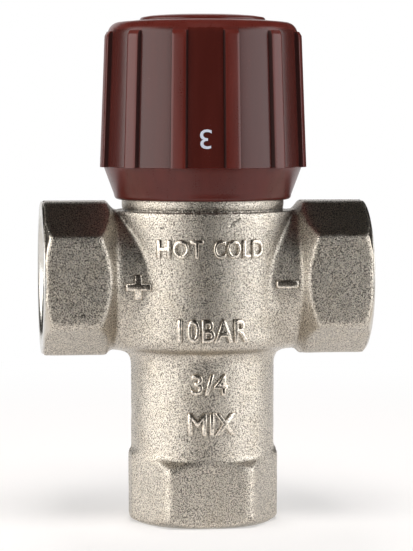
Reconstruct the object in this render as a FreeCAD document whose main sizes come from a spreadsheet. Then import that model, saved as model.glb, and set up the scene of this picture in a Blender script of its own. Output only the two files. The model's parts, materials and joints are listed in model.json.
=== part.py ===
import FreeCAD, Part

# Tee-pattern thermostatic mixing valve for a hot and cold water supply.
#
# A brass forging has a hot inlet on the left (-X), a cold inlet on the right (+X) and the mixed
# outlet below (-Z), each a female pipe thread in a hexagonal end. A bonnet closes the top. Under
# a ribbed handwheel, a left-hand spindle lifts a nut that cannot turn, and a wax element hung
# below the nut moves a shuttle between the hot seat (below) and the cold seat (above).
#
# Frame: millimetres, +Z up, front towards -Y, origin at the centre of the outlet's end face.

import math
import operator
import os

import Sketcher
from FreeCAD import Placement, Rotation, Vector

SIZES = {
    # forging
    "arm_height": 52.7,  # axis of the two inlets above the outlet face
    "arm_reach": 35.0,  # valve axis to an inlet face
    "arm_radius": 14.5,  # neck between an inlet hexagon and the barrel
    "inlet_flats": 33.0,  # across the flats of an inlet hexagon
    "inlet_face_step": 0.2,  # the cone at the face starts inside the flats
    "inlet_back_step": 0.6,  # and the one at the back outside them
    "inlet_hexagon": 14.5,  # length of an inlet hexagon
    "outlet_flats": 31.0,
    "outlet_width": 32.0,  # across its two trimmed sides
    "outlet_face_step": 0.6,
    "outlet_hexagon": 15.8,
    "barrel_drop": 15.0,  # underside of the barrel below the inlet axis
    "barrel_rise": 14.6,  # top of the barrel above the inlet axis
    "barrel_ledge": 1.8,  # the barrel stands out past the collar
    "barrel_round": 2.2,  # rounded lower edge of the barrel
    "tube_wall": 4.4,
    "tube_fillet": 1.5,  # hollow corner between the barrel and the tube
    "collar_wall": 2.5,
    "collar_height": 5.2,
    # pipe threads, as plain bores at the thread's minor radius
    "thread_radius": 12.06,
    "thread_mouth": 1.34,  # width of the countersink
    "thread_depth": 14.0,
    # waterways
    "inlet_bore": 9.5,
    "septum": 1.8,  # wall between an inlet bore's blind end and the bonnet's bore
    "window_half_width": 6.5,
    "window_rim": 0.5,  # wall left above and below a window
    "land_bore": 12.2,  # the shuttle slides through it
    "land_height": 4.0,  # wall between the two chambers
    "hot_seat_drop": 7.9,  # hot seat below the inlet axis
    "seat_overlap": 0.9,  # width of the ring where the shuttle meets the hot seat
    "hot_chamber_depth": 2.3,  # the hot chamber is wider than the land's bore
    "head_step": 2.8,  # the bonnet's threaded bore is wider than the land's bore
    "seal_groove": 1.9,  # height of the groove in the land
    "retainer_step": 1.0,  # width of the step that carries the return spring's retainer
    # bonnet
    "bonnet_nose": 1.0,  # the cold seat's ring is wider than the land's bore
    "bonnet_nose_height": 2.0,
    "bonnet_flange_height": 2.2,
    "bonnet_flange_step": 0.6,  # the flange stays inside the collar's edge
    "bonnet_relief": 2.0,  # height of the groove for the bonnet's seal
    "bonnet_flats": 24.0,
    "bonnet_hexagon": 4.6,
    "bonnet_neck": 8.5,
    "bonnet_neck_height": 6.0,
    "guide_flats": 18.0,  # hexagonal guide bore
    "stop_radius": 14.0,
    "stop_height": 3.0,
    "stop_angle": 76.0,  # angle that the bonnet's stop fills
    "dial_cold_turn": 174.0,  # clockwise turn from the stored pose to the cold stop
    "dial_hot_turn": 96.0,  # the other way, to the hot stop
    # spindle
    "stem_radius": 4.5,
    "flange_radius": 6.5,
    "flange_thickness": 1.6,
    "washer_thickness": 0.8,
    "spindle_thread": 5.0,
    "spindle_point": 0.8,  # bevel at the foot of the thread
    "stem_end": 0.6,  # round stem left above its retaining ring
    "clip_groove": 0.7,  # depth of a retaining ring's groove in the stem
    "clip_thickness": 0.8,
    "seal_section": 0.65,  # radius of a stem seal's own section
    "seal_room": 0.15,  # half of what a stem seal's groove has to spare
    "seal_inset": 3.4,  # upper stem seal below the bonnet's top
    "seal_spacing": 5.4,
    "bonnet_seal_section": 0.8,
    # carrier nut and its overtravel spring
    "carrier_nut": 5.0,  # length of thread in the carrier
    "carrier_head": 6.8,  # height of its hexagonal head
    "carrier_wall": 1.2,
    "carrier_headroom": 1.9,  # free travel above the carrier
    "carrier_rim": 0.7,  # wall below the snap ring
    "cup_bore": 6.4,
    "cup_thickness": 1.7,
    "cup_boss": 3.9,
    "cup_boss_height": 2.1,
    "cup_roof": 1.0,  # above the pin's socket
    "snap_ring": 1.0,
    "snap_ring_width": 2.2,
    "snap_groove": 0.6,  # depth of the snap ring's groove
    "overtravel_length": 7.1,  # of the overtravel spring as fitted
    "overtravel_wire": 0.65,
    "overtravel_coils": 3.5,
    # wax element, shuttle and return spring
    "pin_radius": 1.5,
    "pin_engagement": 6.8,  # pin inside the element's guide
    "pin_room": 1.4,  # free depth below the pin
    "pin_free_length": 2.2,  # element to thrust cup
    "capsule_radius": 5.5,
    "capsule_length": 18.7,
    "capsule_bevel": 1.2,
    "element_flange_thickness": 1.8,
    "element_guide": 3.5,
    "element_groove": 0.4,  # depth of the retaining ring's groove
    "element_clip_reach": 2.0,  # the ring stands out past the guide
    "element_neck": 2.6,  # guide above the shuttle's hub
    "hot_gap": 1.9,  # shuttle to hot seat in the stored pose
    "cold_gap": 1.25,
    "shuttle_height": 11.85,
    "shuttle_wall": 1.5,
    "spider_thickness": 3.0,
    "spoke_width": 2.2,
    "spoke_count": 4,
    "hub_wall": 2.7,
    "edge_bevel": 0.3,
    "shuttle_seal_section": 0.8,
    "retainer_thickness": 2.0,
    "retainer_rim": 1.2,
    "return_length": 19.6,  # of the return spring as fitted
    "return_wire": 0.75,
    "return_coils": 5.5,
    # handwheel
    "skirt_gap": 2.2,  # foot of the skirt above the barrel
    "skirt_height": 7.0,
    "skirt_wall": 1.3,
    "skirt_round": 1.0,
    "drum_height": 31.7,
    "drum_radius": 21.6,  # at the drum's base
    "drum_draft": 1.1,  # the drum is narrower at its shoulder
    "drum_lip": 0.1,  # the drum stands out past the skirt
    "drum_wall": 1.8,
    "drum_shoulder_drop": 4.3,  # rounded shoulder below the drum's top
    "shoulder_width": 3.2,
    "dome": 0.6,  # rise of the top from the shoulder to the cap
    "rib_height": 1.0,
    "rib_drop": 2.9,  # top of a rib below the drum's top
    "rib_bevel": 1.2,
    "rib_width": 3.3,
    "rib_count": 12,
    "rib_turn": 8.7,  # turn of the first rib from +X in the stored pose
    "plate_thickness": 3.0,
    "recess_depth": 5.2,
    "hub_wall_radius": 7.5,  # outside of the handwheel's hub
    "hub_gap": 2.0,  # hub above the bonnet
    "lug_thickness": 2.4,
    "stop_overlap": 1.8,  # the lug reaches in past the stop's edge
    "screw_radius": 2.0,
    "screw_length": 10.0,
    "screw_head": 4.0,
    "screw_head_height": 2.6,
    "screw_head_bevel": 1.0,
    "screw_point": 0.5,
    "screw_recess": 1.4,
    "screw_washer": 5.6,
    "cap_radius": 13.5,
    "cap_step": 0.8,  # the cap's rim stands out past its snap ring
    "cap_sink": 0.7,  # the rim's seat below the drum's top
    "cap_thickness": 2.0,
    "cap_round": 0.7,
    "cap_lip": 1.1,
    "cap_lip_height": 3.2,
    # clearances and laps
    "loose_fit": 0.3,  # round a piece that another body moves
    "end_gap": 0.5,  # between ends that never meet
    "assembly_gap": 0.2,  # round a piece that is put in by hand
    "overlap": 1.0,  # joined shapes run this far into one another
    "running_fit": 0.06,  # round a shaft or a sliding seal
    "close_fit": 0.03,  # between pieces fastened together
}

COS30 = math.cos(math.radians(30))
TAN30 = math.tan(math.radians(30))
LUG_TURN = 90  # direction of the handwheel's stop lug in the stored pose, in degrees from +X

document = FreeCAD.newDocument("MixingValve")
sheet = document.addObject("Spreadsheet::Sheet", "Sizes")


class Size:
    """A length or angle: a formula on the sheet, with its value for choices made here."""

    def __init__(self, value, formula):
        self.value = value
        self.formula = formula

    def join(self, sign, other, swap=False):
        left, right = (as_size(other), self) if swap else (self, as_size(other))
        work = {"+": operator.add, "-": operator.sub, "*": operator.mul, "/": operator.truediv}
        value = work[sign](left.value, right.value)
        return Size(value, f"({left.formula} {sign} {right.formula})")

    def __add__(self, other):
        return self.join("+", other)

    def __radd__(self, other):
        return self.join("+", other, swap=True)

    def __sub__(self, other):
        return self.join("-", other)

    def __rsub__(self, other):
        return self.join("-", other, swap=True)

    def __mul__(self, other):
        return self.join("*", other)

    def __rmul__(self, other):
        return self.join("*", other, swap=True)

    def __truediv__(self, other):
        return self.join("/", other)

    def __neg__(self):
        return self.join("*", -1)


def as_size(number):
    return number if isinstance(number, Size) else Size(float(number), repr(float(number)))


class Names:
    """Every size of the sheet as an attribute."""


size = Names()
for row, (alias, number) in enumerate(SIZES.items(), start=1):
    sheet.set(f"A{row}", alias.replace("_", " "))
    sheet.set(f"B{row}", str(number))
    sheet.setAlias(f"B{row}", alias)
    setattr(size, alias, Size(float(number), f"Sizes.{alias}"))
document.recompute()


# ---------------------------------------------------------------- drawing tools


def bind(thing, **sizes):
    """Ties properties to the sheet; a double underscore in a name stands for a dot."""
    for name, value in sizes.items():
        thing.setExpression(name.replace("__", "."), as_size(value).formula)


def new_body(label):
    body = document.addObject("PartDesign::Body", label)
    body.Label = label
    return body


def plane_of(body, role):
    return next(f for f in body.Origin.OriginFeatures if f.Role == role)


def new_sketch(body, plane, lift=0, turn=0, rise=0):
    """An empty sketch on an origin plane, lifted along its normal, raised along its own
    vertical and turned about that vertical."""
    sketch = body.newObject("Sketcher::SketchObject", "Sketch")
    sketch.AttachmentSupport = (plane_of(body, plane), "")
    sketch.MapMode = "FlatFace"
    offset = Placement(Vector(0, as_size(rise).value, as_size(lift).value), Rotation(Vector(0, 1, 0), turn))
    sketch.AttachmentOffset = offset
    if isinstance(lift, Size):
        bind(sketch, AttachmentOffset__Base__z=lift)
    if isinstance(rise, Size):
        bind(sketch, AttachmentOffset__Base__y=rise)
    return sketch


def outline(sketch, corners):
    """Draws a closed outline through the corners and ties each corner to its sizes."""
    corners = [(as_size(across), as_size(up)) for across, up in corners]
    spots = [Vector(across.value, up.value, 0) for across, up in corners]
    first = sketch.GeometryCount
    for start, end in zip(spots, spots[1:] + spots[:1]):
        sketch.addGeometry(Part.LineSegment(start, end), False)
    for index, (across, up) in enumerate(corners):
        line = first + index
        before = first + (index - 1) % len(corners)
        sketch.addConstraint(Sketcher.Constraint("Coincident", before, 2, line, 1))
        for kind, place in (("DistanceX", across), ("DistanceY", up)):
            rule = sketch.addConstraint(Sketcher.Constraint(kind, -1, 1, line, 1, place.value))
            sketch.setExpression(f"Constraints[{rule}]", place.formula)
    return sketch


def circle(sketch, radius):
    """Draws a circle about the sketch's origin."""
    radius = as_size(radius)
    ring = sketch.addGeometry(Part.Circle(Vector(0, 0, 0), Vector(0, 0, 1), radius.value), False)
    sketch.addConstraint(Sketcher.Constraint("Coincident", ring, 3, -1, 1))
    rule = sketch.addConstraint(Sketcher.Constraint("Radius", ring, radius.value))
    sketch.setExpression(f"Constraints[{rule}]", radius.formula)
    return sketch


def polygon(across_flats, sides, first_corner=0):
    """Corners of a regular polygon, the first one at an angle in degrees."""
    corner_radius = across_flats / (2 * math.cos(math.pi / sides))
    angles = [math.radians(first_corner + 360 * k / sides) for k in range(sides)]
    return [(corner_radius * math.cos(a), corner_radius * math.sin(a)) for a in angles]


def trimmed_hexagon(across_flats, width):
    """Corners of a hexagon whose top and bottom points are cut off, which leaves two flat
    sides at this width from each other."""
    half = across_flats / 2
    cut = (half / COS30 - width / 2) / TAN30
    side = half * TAN30
    quarter = [(half, side), (cut, width / 2)]
    left = [(-x, y) for x, y in reversed(quarter)]
    below = [(-x, -y) for x, y in quarter + left]
    return quarter + left + below


def revolve(sketch, cut=False, axis="V_Axis", angle=360):
    """Turns a sketch about one of its axes and adds it to its body, or cuts it away."""
    body = sketch.getParentGeoFeatureGroup()
    kind = "PartDesign::Groove" if cut else "PartDesign::Revolution"
    feature = body.newObject(kind, "Groove" if cut else "Turned")
    feature.Profile = (sketch, [""])
    feature.ReferenceAxis = (sketch, [axis])
    feature.Midplane = angle != 360
    bind(feature, Angle=angle)
    return finish(body, feature, cut)


def extrude(sketch, length, cut=False, both=False, reverse=False):
    """Pads a sketch along its normal, or pockets it; a pocket also runs along the normal."""
    body = sketch.getParentGeoFeatureGroup()
    feature = body.newObject("PartDesign::Pocket" if cut else "PartDesign::Pad", "Cut" if cut else "Pad")
    feature.Profile = (sketch, [""])
    feature.SideType = "Symmetric" if both else "One side"
    feature.Reversed = reverse != cut
    bind(feature, Length=length)
    return finish(body, feature, cut)


def around(feature, count, axis="Z_Axis"):
    """Repeats a feature evenly round an axis of its body."""
    body = feature.getParentGeoFeatureGroup()
    pattern = body.newObject("PartDesign::PolarPattern", "Pattern")
    pattern.Originals = [feature]
    pattern.Axis = (plane_of(body, axis), [""])
    pattern.Angle = 360
    bind(pattern, Occurrences=count)
    body.Tip = pattern
    document.recompute()
    return pattern


def round_edges(body, radius, choose):
    """Rounds the edges of a body that the test picks out."""
    return dress(body, "PartDesign::Fillet", "Radius", radius, choose)


def bevel_edges(body, width, choose):
    return dress(body, "PartDesign::Chamfer", "Size", width, choose)


def dress(body, kind, measure, width, choose):
    base = body.Tip
    names = [f"Edge{k}" for k, edge in enumerate(base.Shape.Edges, start=1) if choose(edge)]
    if not names:
        raise RuntimeError(f"{body.Label}: no edge to dress")
    feature = body.newObject(kind, "Edges")
    feature.Base = (base, names)
    bind(feature, **{measure: width})
    body.Tip = feature
    document.recompute()
    return feature


def finish(body, feature, cut):
    """Recomputes the body and makes sure that the feature changed its volume."""
    base = feature.BaseFeature
    before = base.Shape.Volume if base else 0.0
    document.recompute()
    after = feature.Shape.Volume
    if (after >= before) if cut else (after <= before):
        raise RuntimeError(f"{body.Label}: {feature.Name} changed nothing")
    return feature


def turned(label, corners):
    """A body turned about the valve axis from (radius, height) corners."""
    body = new_body(label)
    revolve(outline(new_sketch(body, "XZ_Plane"), corners))
    return body


def sleeve(label, inner, outer, base, height):
    return turned(label, [(inner, base), (outer, base), (outer, base + height), (inner, base + height)])


def o_ring(label, inner_radius, section, height):
    ring = document.addObject("Part::Torus", label)
    ring.Label = label
    bind(ring, Radius1=inner_radius + section, Radius2=section, Placement__Base__z=height)
    document.recompute()
    return ring


def split_ring(label, inner, outer, base, thickness):
    """A retaining ring with a gap towards +X."""
    body = sleeve(label, inner, outer, base, thickness)
    gap = inner * 0.5
    slot = [(0, -gap), (outer * 1.2, -gap), (outer * 1.2, gap), (0, gap)]
    extrude(outline(new_sketch(body, "XY_Plane", lift=base), slot), thickness, cut=True)
    return body


def coil_spring(label, radius, wire, base, top, coils):
    """A helical spring of round wire between two flat seats."""
    lift = wire.value + size.close_fit.value
    rise = top.value - base.value - 2 * lift
    path = Part.Wire(Part.makeHelix(rise / coils.value, rise, radius.value))
    lead = rise / coils.value / (2 * math.pi * radius.value)
    section = Part.Wire(Part.makeCircle(wire.value, Vector(radius.value, 0, 0), Vector(0, 1, lead)))
    spring = document.addObject("Part::Feature", label)
    spring.Label = label
    spring.Shape = path.makePipeShell([section], True, True)
    spring.Placement = Placement(Vector(0, 0, base.value + lift), Rotation())
    return spring


def is_ring(edge, radius, height=None):
    """Whether an edge is a circle about the valve axis of this radius, and at this height."""
    if not isinstance(edge.Curve, Part.Circle):
        return False
    centre = edge.Curve.Center
    level = height is None or abs(centre.z - height.value) < 0.01
    return abs(edge.Curve.Radius - radius.value) < 0.01 and math.hypot(centre.x, centre.y) < 0.01 and level


# ---------------------------------------------------------------- places that pieces share

# radii, from the shuttle outwards
shuttle_radius = size.land_bore - size.loose_fit
shuttle_inner = shuttle_radius - size.shuttle_wall
mixing_bore = shuttle_radius - size.seat_overlap
hot_chamber_radius = size.land_bore + size.hot_chamber_depth
head_bore = size.land_bore + size.head_step
nose_radius = size.land_bore + size.bonnet_nose
collar_radius = head_bore + size.collar_wall
barrel_radius = collar_radius + size.barrel_ledge
tube_radius = mixing_bore + size.tube_wall
thread_mouth = size.thread_radius + size.thread_mouth
stem_bore = size.stem_radius + size.running_fit
square_flats = (size.stem_radius - size.running_fit) * 2 * math.cos(math.radians(45))
carrier_cup = size.cup_bore + size.carrier_wall
return_coil_radius = size.capsule_radius + size.return_wire + 2.5 * size.loose_fit
element_flange = return_coil_radius + size.return_wire + size.loose_fit / 2
skirt_bore = collar_radius + size.loose_fit
drum_top_radius = size.drum_radius - size.drum_draft
recess_radius = size.cap_radius - size.cap_step
recess_mouth = size.cap_radius + size.assembly_gap
inlet_bore_end = head_bore + size.septum
bonnet_flange = collar_radius - size.bonnet_flange_step
hub_radius = size.element_guide + size.hub_wall
retainer_seat = element_flange + size.loose_fit
skirt_base_radius = skirt_bore + size.skirt_wall
skirt_top_radius = size.drum_radius - size.drum_lip
rib_base_radius = size.drum_radius + size.rib_height
rib_top_radius = drum_top_radius + size.rib_height

# heights of the forging
barrel_base = size.arm_height - size.barrel_drop
barrel_top = size.arm_height + size.barrel_rise
collar_top = barrel_top + size.collar_height
land_base = size.arm_height - size.land_height / 2
land_top = size.arm_height + size.land_height / 2

# heights of the moving stack, from the hot seat upwards
hot_seat_height = size.arm_height - size.hot_seat_drop
shuttle_base = hot_seat_height + size.hot_gap
cold_seat_height = shuttle_base + size.shuttle_height + size.cold_gap
hub_top = shuttle_base + size.spider_thickness
element_top = hub_top + size.element_neck
cup_height = element_top + size.pin_free_length
cup_top = cup_height + size.cup_thickness
boss_top = cup_top + size.cup_boss_height
pin_foot = element_top - size.pin_engagement
pin_top = boss_top - size.cup_roof
chamber_top = cup_top + size.overtravel_length
carrier_top = chamber_top + size.carrier_nut
carrier_shoulder = carrier_top - size.carrier_head
snap_ring_base = cup_height - size.snap_ring
carrier_foot = snap_ring_base - size.carrier_rim
spindle_foot = chamber_top + size.loose_fit
flange_base = carrier_top + size.carrier_headroom
guide_top = flange_base - size.end_gap
flange_top = flange_base + size.flange_thickness
shoulder_height = flange_top + size.washer_thickness

# and downwards
element_flange_base = shuttle_base - size.element_flange_thickness
element_foot = element_flange_base - size.capsule_length
retainer_top = element_flange_base - size.return_length
retainer_base = retainer_top - size.retainer_thickness

# heights of the bonnet and the handwheel
flange_face = collar_top + size.bonnet_flange_height
hexagon_top = flange_face + size.bonnet_hexagon
bonnet_top = hexagon_top + size.bonnet_neck_height
clip_base = bonnet_top + size.close_fit
upper_seal = bonnet_top - size.seal_inset
lower_seal = upper_seal - size.seal_spacing
skirt_base = barrel_top + size.skirt_gap
drum_base = skirt_base + size.skirt_height
drum_top = drum_base + size.drum_height
drum_shoulder = drum_top - size.drum_shoulder_drop
rib_top = drum_top - size.rib_drop
cap_base = drum_top - size.cap_sink
cap_top = cap_base + size.cap_thickness
recess_floor = cap_base - size.recess_depth
plate_base = recess_floor - size.plate_thickness
handwheel_hub_base = bonnet_top + size.hub_gap
spindle_top = recess_floor - size.loose_fit
screw_foot = spindle_top - size.screw_length


# ---------------------------------------------------------------- the pieces


def valve_body():
    """The forging: barrel, collar and outlet tube turned as one, two arms and three hexagons."""
    body = new_body("valve_body")
    outlet_neck = size.outlet_hexagon - size.overlap
    stem = [
        (0, outlet_neck),
        (tube_radius, outlet_neck),
        (tube_radius, barrel_base),
        (barrel_radius, barrel_base),
        (barrel_radius, barrel_top),
        (collar_radius, barrel_top),
        (collar_radius, collar_top),
        (0, collar_top),
    ]
    revolve(outline(new_sketch(body, "XZ_Plane"), stem))
    round_edges(body, size.barrel_round, lambda edge: is_ring(edge, barrel_radius, barrel_base))
    round_edges(body, size.tube_fillet, lambda edge: is_ring(edge, tube_radius, barrel_base))

    necks = circle(new_sketch(body, "YZ_Plane", rise=size.arm_height), size.arm_radius)
    extrude(necks, 2 * (size.arm_reach - size.inlet_hexagon + size.overlap), both=True)
    for turn in (0, 180):
        inlet_hexagon(body, turn)
    outlet_hexagon(body)
    waterways(body)
    return body


def inlet_hexagon(body, turn):
    """A hexagonal end about the inlet axis, coned at both ends; turn 180 makes the left one."""
    back = size.arm_reach - size.inlet_hexagon
    lift = back if turn == 0 else -size.arm_reach
    prism = new_sketch(body, "YZ_Plane", rise=size.arm_height, lift=lift)
    extrude(outline(prism, trimmed_hexagon(size.inlet_flats, size.inlet_flats)), size.inlet_hexagon)
    corner = size.inlet_flats / 2 / COS30 + size.overlap
    face_start = size.inlet_flats / 2 - size.inlet_face_step
    back_start = size.inlet_flats / 2 + size.inlet_back_step
    for end, start, inward in ((size.arm_reach, face_start, -1), (back, back_start, 1)):
        cone = [(end, start), (end, corner), (end + inward * (corner - start) * TAN30, corner)]
        sketch = new_sketch(body, "XZ_Plane", rise=size.arm_height, turn=turn)
        revolve(outline(sketch, cone), cut=True, axis="H_Axis")


def outlet_hexagon(body):
    prism = new_sketch(body, "XY_Plane")
    corners = [(y, x) for x, y in trimmed_hexagon(size.outlet_flats, size.outlet_width)]
    extrude(outline(prism, corners), size.outlet_hexagon)
    corner = size.outlet_flats / 2 / COS30 + size.overlap
    flat = size.outlet_flats / 2
    for end, start, slope in ((0, flat - size.outlet_face_step, TAN30), (size.outlet_hexagon, flat, -1)):
        cone = [(start, end), (corner, end), (corner, end + (corner - start) * slope)]
        revolve(outline(new_sketch(body, "XZ_Plane"), cone), cut=True)


def waterways(body):
    """Bores, the two chambers with the land between them, and the windows to the inlets."""
    mouth = thread_mouth - size.thread_radius
    step = mixing_bore - size.retainer_step
    upright = [
        (0, 0),
        (thread_mouth, 0),
        (size.thread_radius, mouth),
        (size.thread_radius, size.thread_depth),
        (step, size.thread_depth + (size.thread_radius - step)),
        (step, retainer_base),
        (mixing_bore, retainer_base),
        (mixing_bore, hot_seat_height),
        (hot_chamber_radius, hot_seat_height),
        (hot_chamber_radius, land_base),
        (size.land_bore, land_base),
        (size.land_bore, land_top),
        (head_bore, land_top),
        (head_bore, collar_top),
        (0, collar_top),
    ]
    revolve(outline(new_sketch(body, "XZ_Plane"), upright), cut=True)
    seal_base = size.arm_height - size.seal_groove / 2
    seal_bore = shuttle_radius + size.running_fit
    seal_floor = seal_bore + 2 * size.shuttle_seal_section + size.close_fit
    seal_mouth = size.land_bore - size.end_gap
    groove = [
        (seal_mouth, seal_base),
        (seal_floor, seal_base),
        (seal_floor, seal_base + size.seal_groove),
        (seal_mouth, seal_base + size.seal_groove),
    ]
    revolve(outline(new_sketch(body, "XZ_Plane"), groove), cut=True)

    thread_end = size.arm_reach - size.thread_depth
    inlet = [
        (size.arm_reach, 0),
        (size.arm_reach, thread_mouth),
        (size.arm_reach - mouth, size.thread_radius),
        (thread_end, size.thread_radius),
        (thread_end - (size.thread_radius - size.inlet_bore), size.inlet_bore),
        (inlet_bore_end, size.inlet_bore),
        (inlet_bore_end, 0),
    ]
    for turn in (0, 180):
        sketch = new_sketch(body, "XZ_Plane", rise=size.arm_height, turn=turn)
        revolve(outline(sketch, inlet), cut=True, axis="H_Axis")
    half = size.window_half_width
    reach = inlet_bore_end + size.end_gap
    for lift, floor, roof in (
        (-reach, hot_seat_height, land_base),
        (size.land_bore, land_top, cold_seat_height),
    ):
        low, high = floor + size.window_rim, roof - size.window_rim
        window = [(-half, low), (half, low), (half, high), (-half, high)]
        sketch = outline(new_sketch(body, "YZ_Plane", lift=lift), window)
        extrude(sketch, reach - size.land_bore, cut=True)


def bonnet():
    """The head that screws into the collar: cold seat below, hexagonal guide, spindle bore."""
    thread = head_bore - size.close_fit
    nose_top = cold_seat_height + size.bonnet_nose_height
    relief = head_bore - 2 * (size.bonnet_seal_section + size.close_fit)
    relief_base = collar_top - size.bonnet_relief
    pocket = size.flange_radius + size.loose_fit
    body = turned(
        "bonnet",
        [
            (stem_bore, shoulder_height),
            (pocket, shoulder_height),
            (pocket, cold_seat_height),
            (nose_radius, cold_seat_height),
            (nose_radius, nose_top),
            (thread, nose_top + (thread - nose_radius)),
            (thread, relief_base),
            (relief, relief_base),
            (relief, collar_top),
            (bonnet_flange, collar_top),
            (bonnet_flange, flange_face),
            (size.bonnet_neck, flange_face),
            (size.bonnet_neck, bonnet_top),
            (stem_bore, bonnet_top),
        ],
    )
    wrench = new_sketch(body, "XY_Plane", lift=flange_face)
    outline(wrench, polygon(size.bonnet_flats, 6))
    circle(wrench, size.bonnet_neck - size.overlap)
    extrude(wrench, size.bonnet_hexagon)
    guide = new_sketch(body, "XY_Plane", lift=cold_seat_height)
    outline(guide, polygon(size.guide_flats, 6))
    extrude(guide, guide_top - cold_seat_height, cut=True)
    middle_of_turn = (size.dial_hot_turn - size.dial_cold_turn) / 2
    stop = new_sketch(body, "XZ_Plane", turn=LUG_TURN + 180 + middle_of_turn.value)
    root = size.bonnet_neck - size.overlap
    sector = [
        (root, hexagon_top),
        (size.stop_radius, hexagon_top),
        (size.stop_radius, hexagon_top + size.stop_height),
        (root, hexagon_top + size.stop_height),
    ]
    revolve(outline(stop, sector), angle=size.stop_angle)
    return body


def bonnet_seal():
    """Seals the bonnet in the mouth of the collar."""
    section = size.bonnet_seal_section
    inner = head_bore - 2 * section - size.close_fit
    return o_ring("bonnet_seal", inner, section, collar_top - section - size.close_fit)


def adjusting_spindle():
    """Left-hand screw below, thrust flange, sealed stem, and a square for the handwheel."""
    clip_bed = size.stem_radius - size.clip_groove
    clip_top = clip_base + size.clip_thickness
    stem_top = clip_top + size.stem_end
    body = turned(
        "adjusting_spindle",
        [
            (0, spindle_foot),
            (size.spindle_thread - size.spindle_point, spindle_foot),
            (size.spindle_thread, spindle_foot + size.spindle_point),
            (size.spindle_thread, flange_base),
            (size.flange_radius, flange_base),
            (size.flange_radius, flange_top),
            (size.stem_radius, flange_top),
            (size.stem_radius, clip_base),
            (clip_bed, clip_base),
            (clip_bed, clip_top),
            (size.stem_radius, clip_top),
            (size.stem_radius, stem_top),
            (0, stem_top),
        ],
    )
    square = outline(new_sketch(body, "XY_Plane", lift=stem_top), polygon(square_flats, 4, 45))
    extrude(square, spindle_top - stem_top)
    half = size.seal_section + size.seal_room
    floor = size.stem_radius - 2 * size.seal_section
    mouth = size.stem_radius + size.end_gap
    for height in (lower_seal, upper_seal):
        low, high = height - half, height + half
        groove = [(floor, low), (mouth, low), (mouth, high), (floor, high)]
        revolve(outline(new_sketch(body, "XZ_Plane"), groove), cut=True)
    tap = size.screw_radius + size.close_fit
    drilled = screw_foot - size.screw_radius / 2
    tapped = [(0, drilled), (tap, screw_foot), (tap, spindle_top), (0, spindle_top)]
    revolve(outline(new_sketch(body, "XZ_Plane"), tapped), cut=True)
    return body


def stem_seal(label, height):
    inner = size.stem_radius - 2 * size.seal_section + size.close_fit
    return o_ring(label, inner, size.seal_section, height)


def spindle_washer():
    """Low-friction washer between the spindle's flange and the bonnet."""
    inner = size.stem_radius + size.close_fit
    return sleeve("spindle_washer", inner, size.flange_radius, flange_top, size.washer_thickness)


def spindle_clip():
    """Retaining ring that keeps the spindle from dropping out of the bonnet."""
    inner = size.stem_radius - size.clip_groove + size.close_fit
    return split_ring("spindle_clip", inner, size.flange_radius, clip_base, size.clip_thickness)


def carrier_nut():
    """Nut that slides in the bonnet's guide without turning; the cup below holds a spring."""
    nut_bore = size.spindle_thread + size.running_fit
    groove = size.cup_bore + size.snap_groove
    body = turned(
        "carrier_nut",
        [
            (nut_bore, chamber_top),
            (size.cup_bore, chamber_top),
            (size.cup_bore, cup_height),
            (groove, cup_height),
            (groove, snap_ring_base),
            (size.cup_bore, snap_ring_base),
            (size.cup_bore, carrier_foot),
            (carrier_cup, carrier_foot),
            (carrier_cup, carrier_top),
            (nut_bore, carrier_top),
        ],
    )
    head = new_sketch(body, "XY_Plane", lift=carrier_shoulder)
    outline(head, polygon(size.guide_flats - 2 * size.loose_fit, 6))
    circle(head, carrier_cup - size.end_gap)
    extrude(head, size.carrier_head)
    return body


def carrier_snap_ring():
    groove = size.cup_bore + size.snap_groove
    inner, outer = groove - size.snap_ring_width, groove - size.close_fit
    return split_ring("carrier_snap_ring", inner, outer, snap_ring_base, size.snap_ring)


def thrust_cup():
    """Takes the element's pin; the overtravel spring holds it on the snap ring."""
    socket = size.pin_radius + size.close_fit
    rim = size.cup_bore - size.loose_fit
    return turned(
        "thrust_cup",
        [
            (socket, cup_height),
            (rim, cup_height),
            (rim, cup_top),
            (size.cup_boss, cup_top),
            (size.cup_boss, boss_top),
            (0, boss_top),
            (0, pin_top),
            (socket, pin_top),
        ],
    )


def overtravel_spring():
    """Gives way when the shuttle is already home and the wax goes on swelling."""
    wire = size.overtravel_wire
    radius = size.cup_bore - wire - size.assembly_gap
    coils = size.overtravel_coils
    return coil_spring("overtravel_spring", radius, wire, cup_top, chamber_top, coils)


def element_pin():
    return sleeve_pin("element_pin", size.pin_radius, pin_foot, pin_top)


def sleeve_pin(label, radius, base, top):
    """A plain round pin with a small bevel at both ends."""
    body = turned(label, [(0, base), (radius, base), (radius, top), (0, top)])
    bevel_edges(body, radius * 0.2, lambda edge: is_ring(edge, radius))
    return body


def wax_element():
    """Sealed capsule of wax with its collar, and the guide that the pin works in."""
    bore = size.pin_radius + size.running_fit
    clip_bed = size.element_guide - size.element_groove
    clip_top = hub_top + size.clip_thickness
    bore_end = pin_foot - size.pin_room
    return turned(
        "wax_element",
        [
            (0, element_foot),
            (size.capsule_radius - size.capsule_bevel, element_foot),
            (size.capsule_radius, element_foot + size.capsule_bevel),
            (size.capsule_radius, element_flange_base),
            (element_flange, element_flange_base),
            (element_flange, shuttle_base),
            (size.element_guide, shuttle_base),
            (size.element_guide, hub_top),
            (clip_bed, hub_top),
            (clip_bed, clip_top),
            (size.element_guide, clip_top),
            (size.element_guide, element_top),
            (bore, element_top),
            (bore, bore_end),
            (0, bore_end),
        ],
    )


def element_clip():
    """Retaining ring that fastens the element to the shuttle."""
    inner = size.element_guide - size.element_groove + size.close_fit
    outer = size.element_guide + size.element_clip_reach
    return split_ring("element_clip", inner, outer, hub_top, size.clip_thickness)


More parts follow.
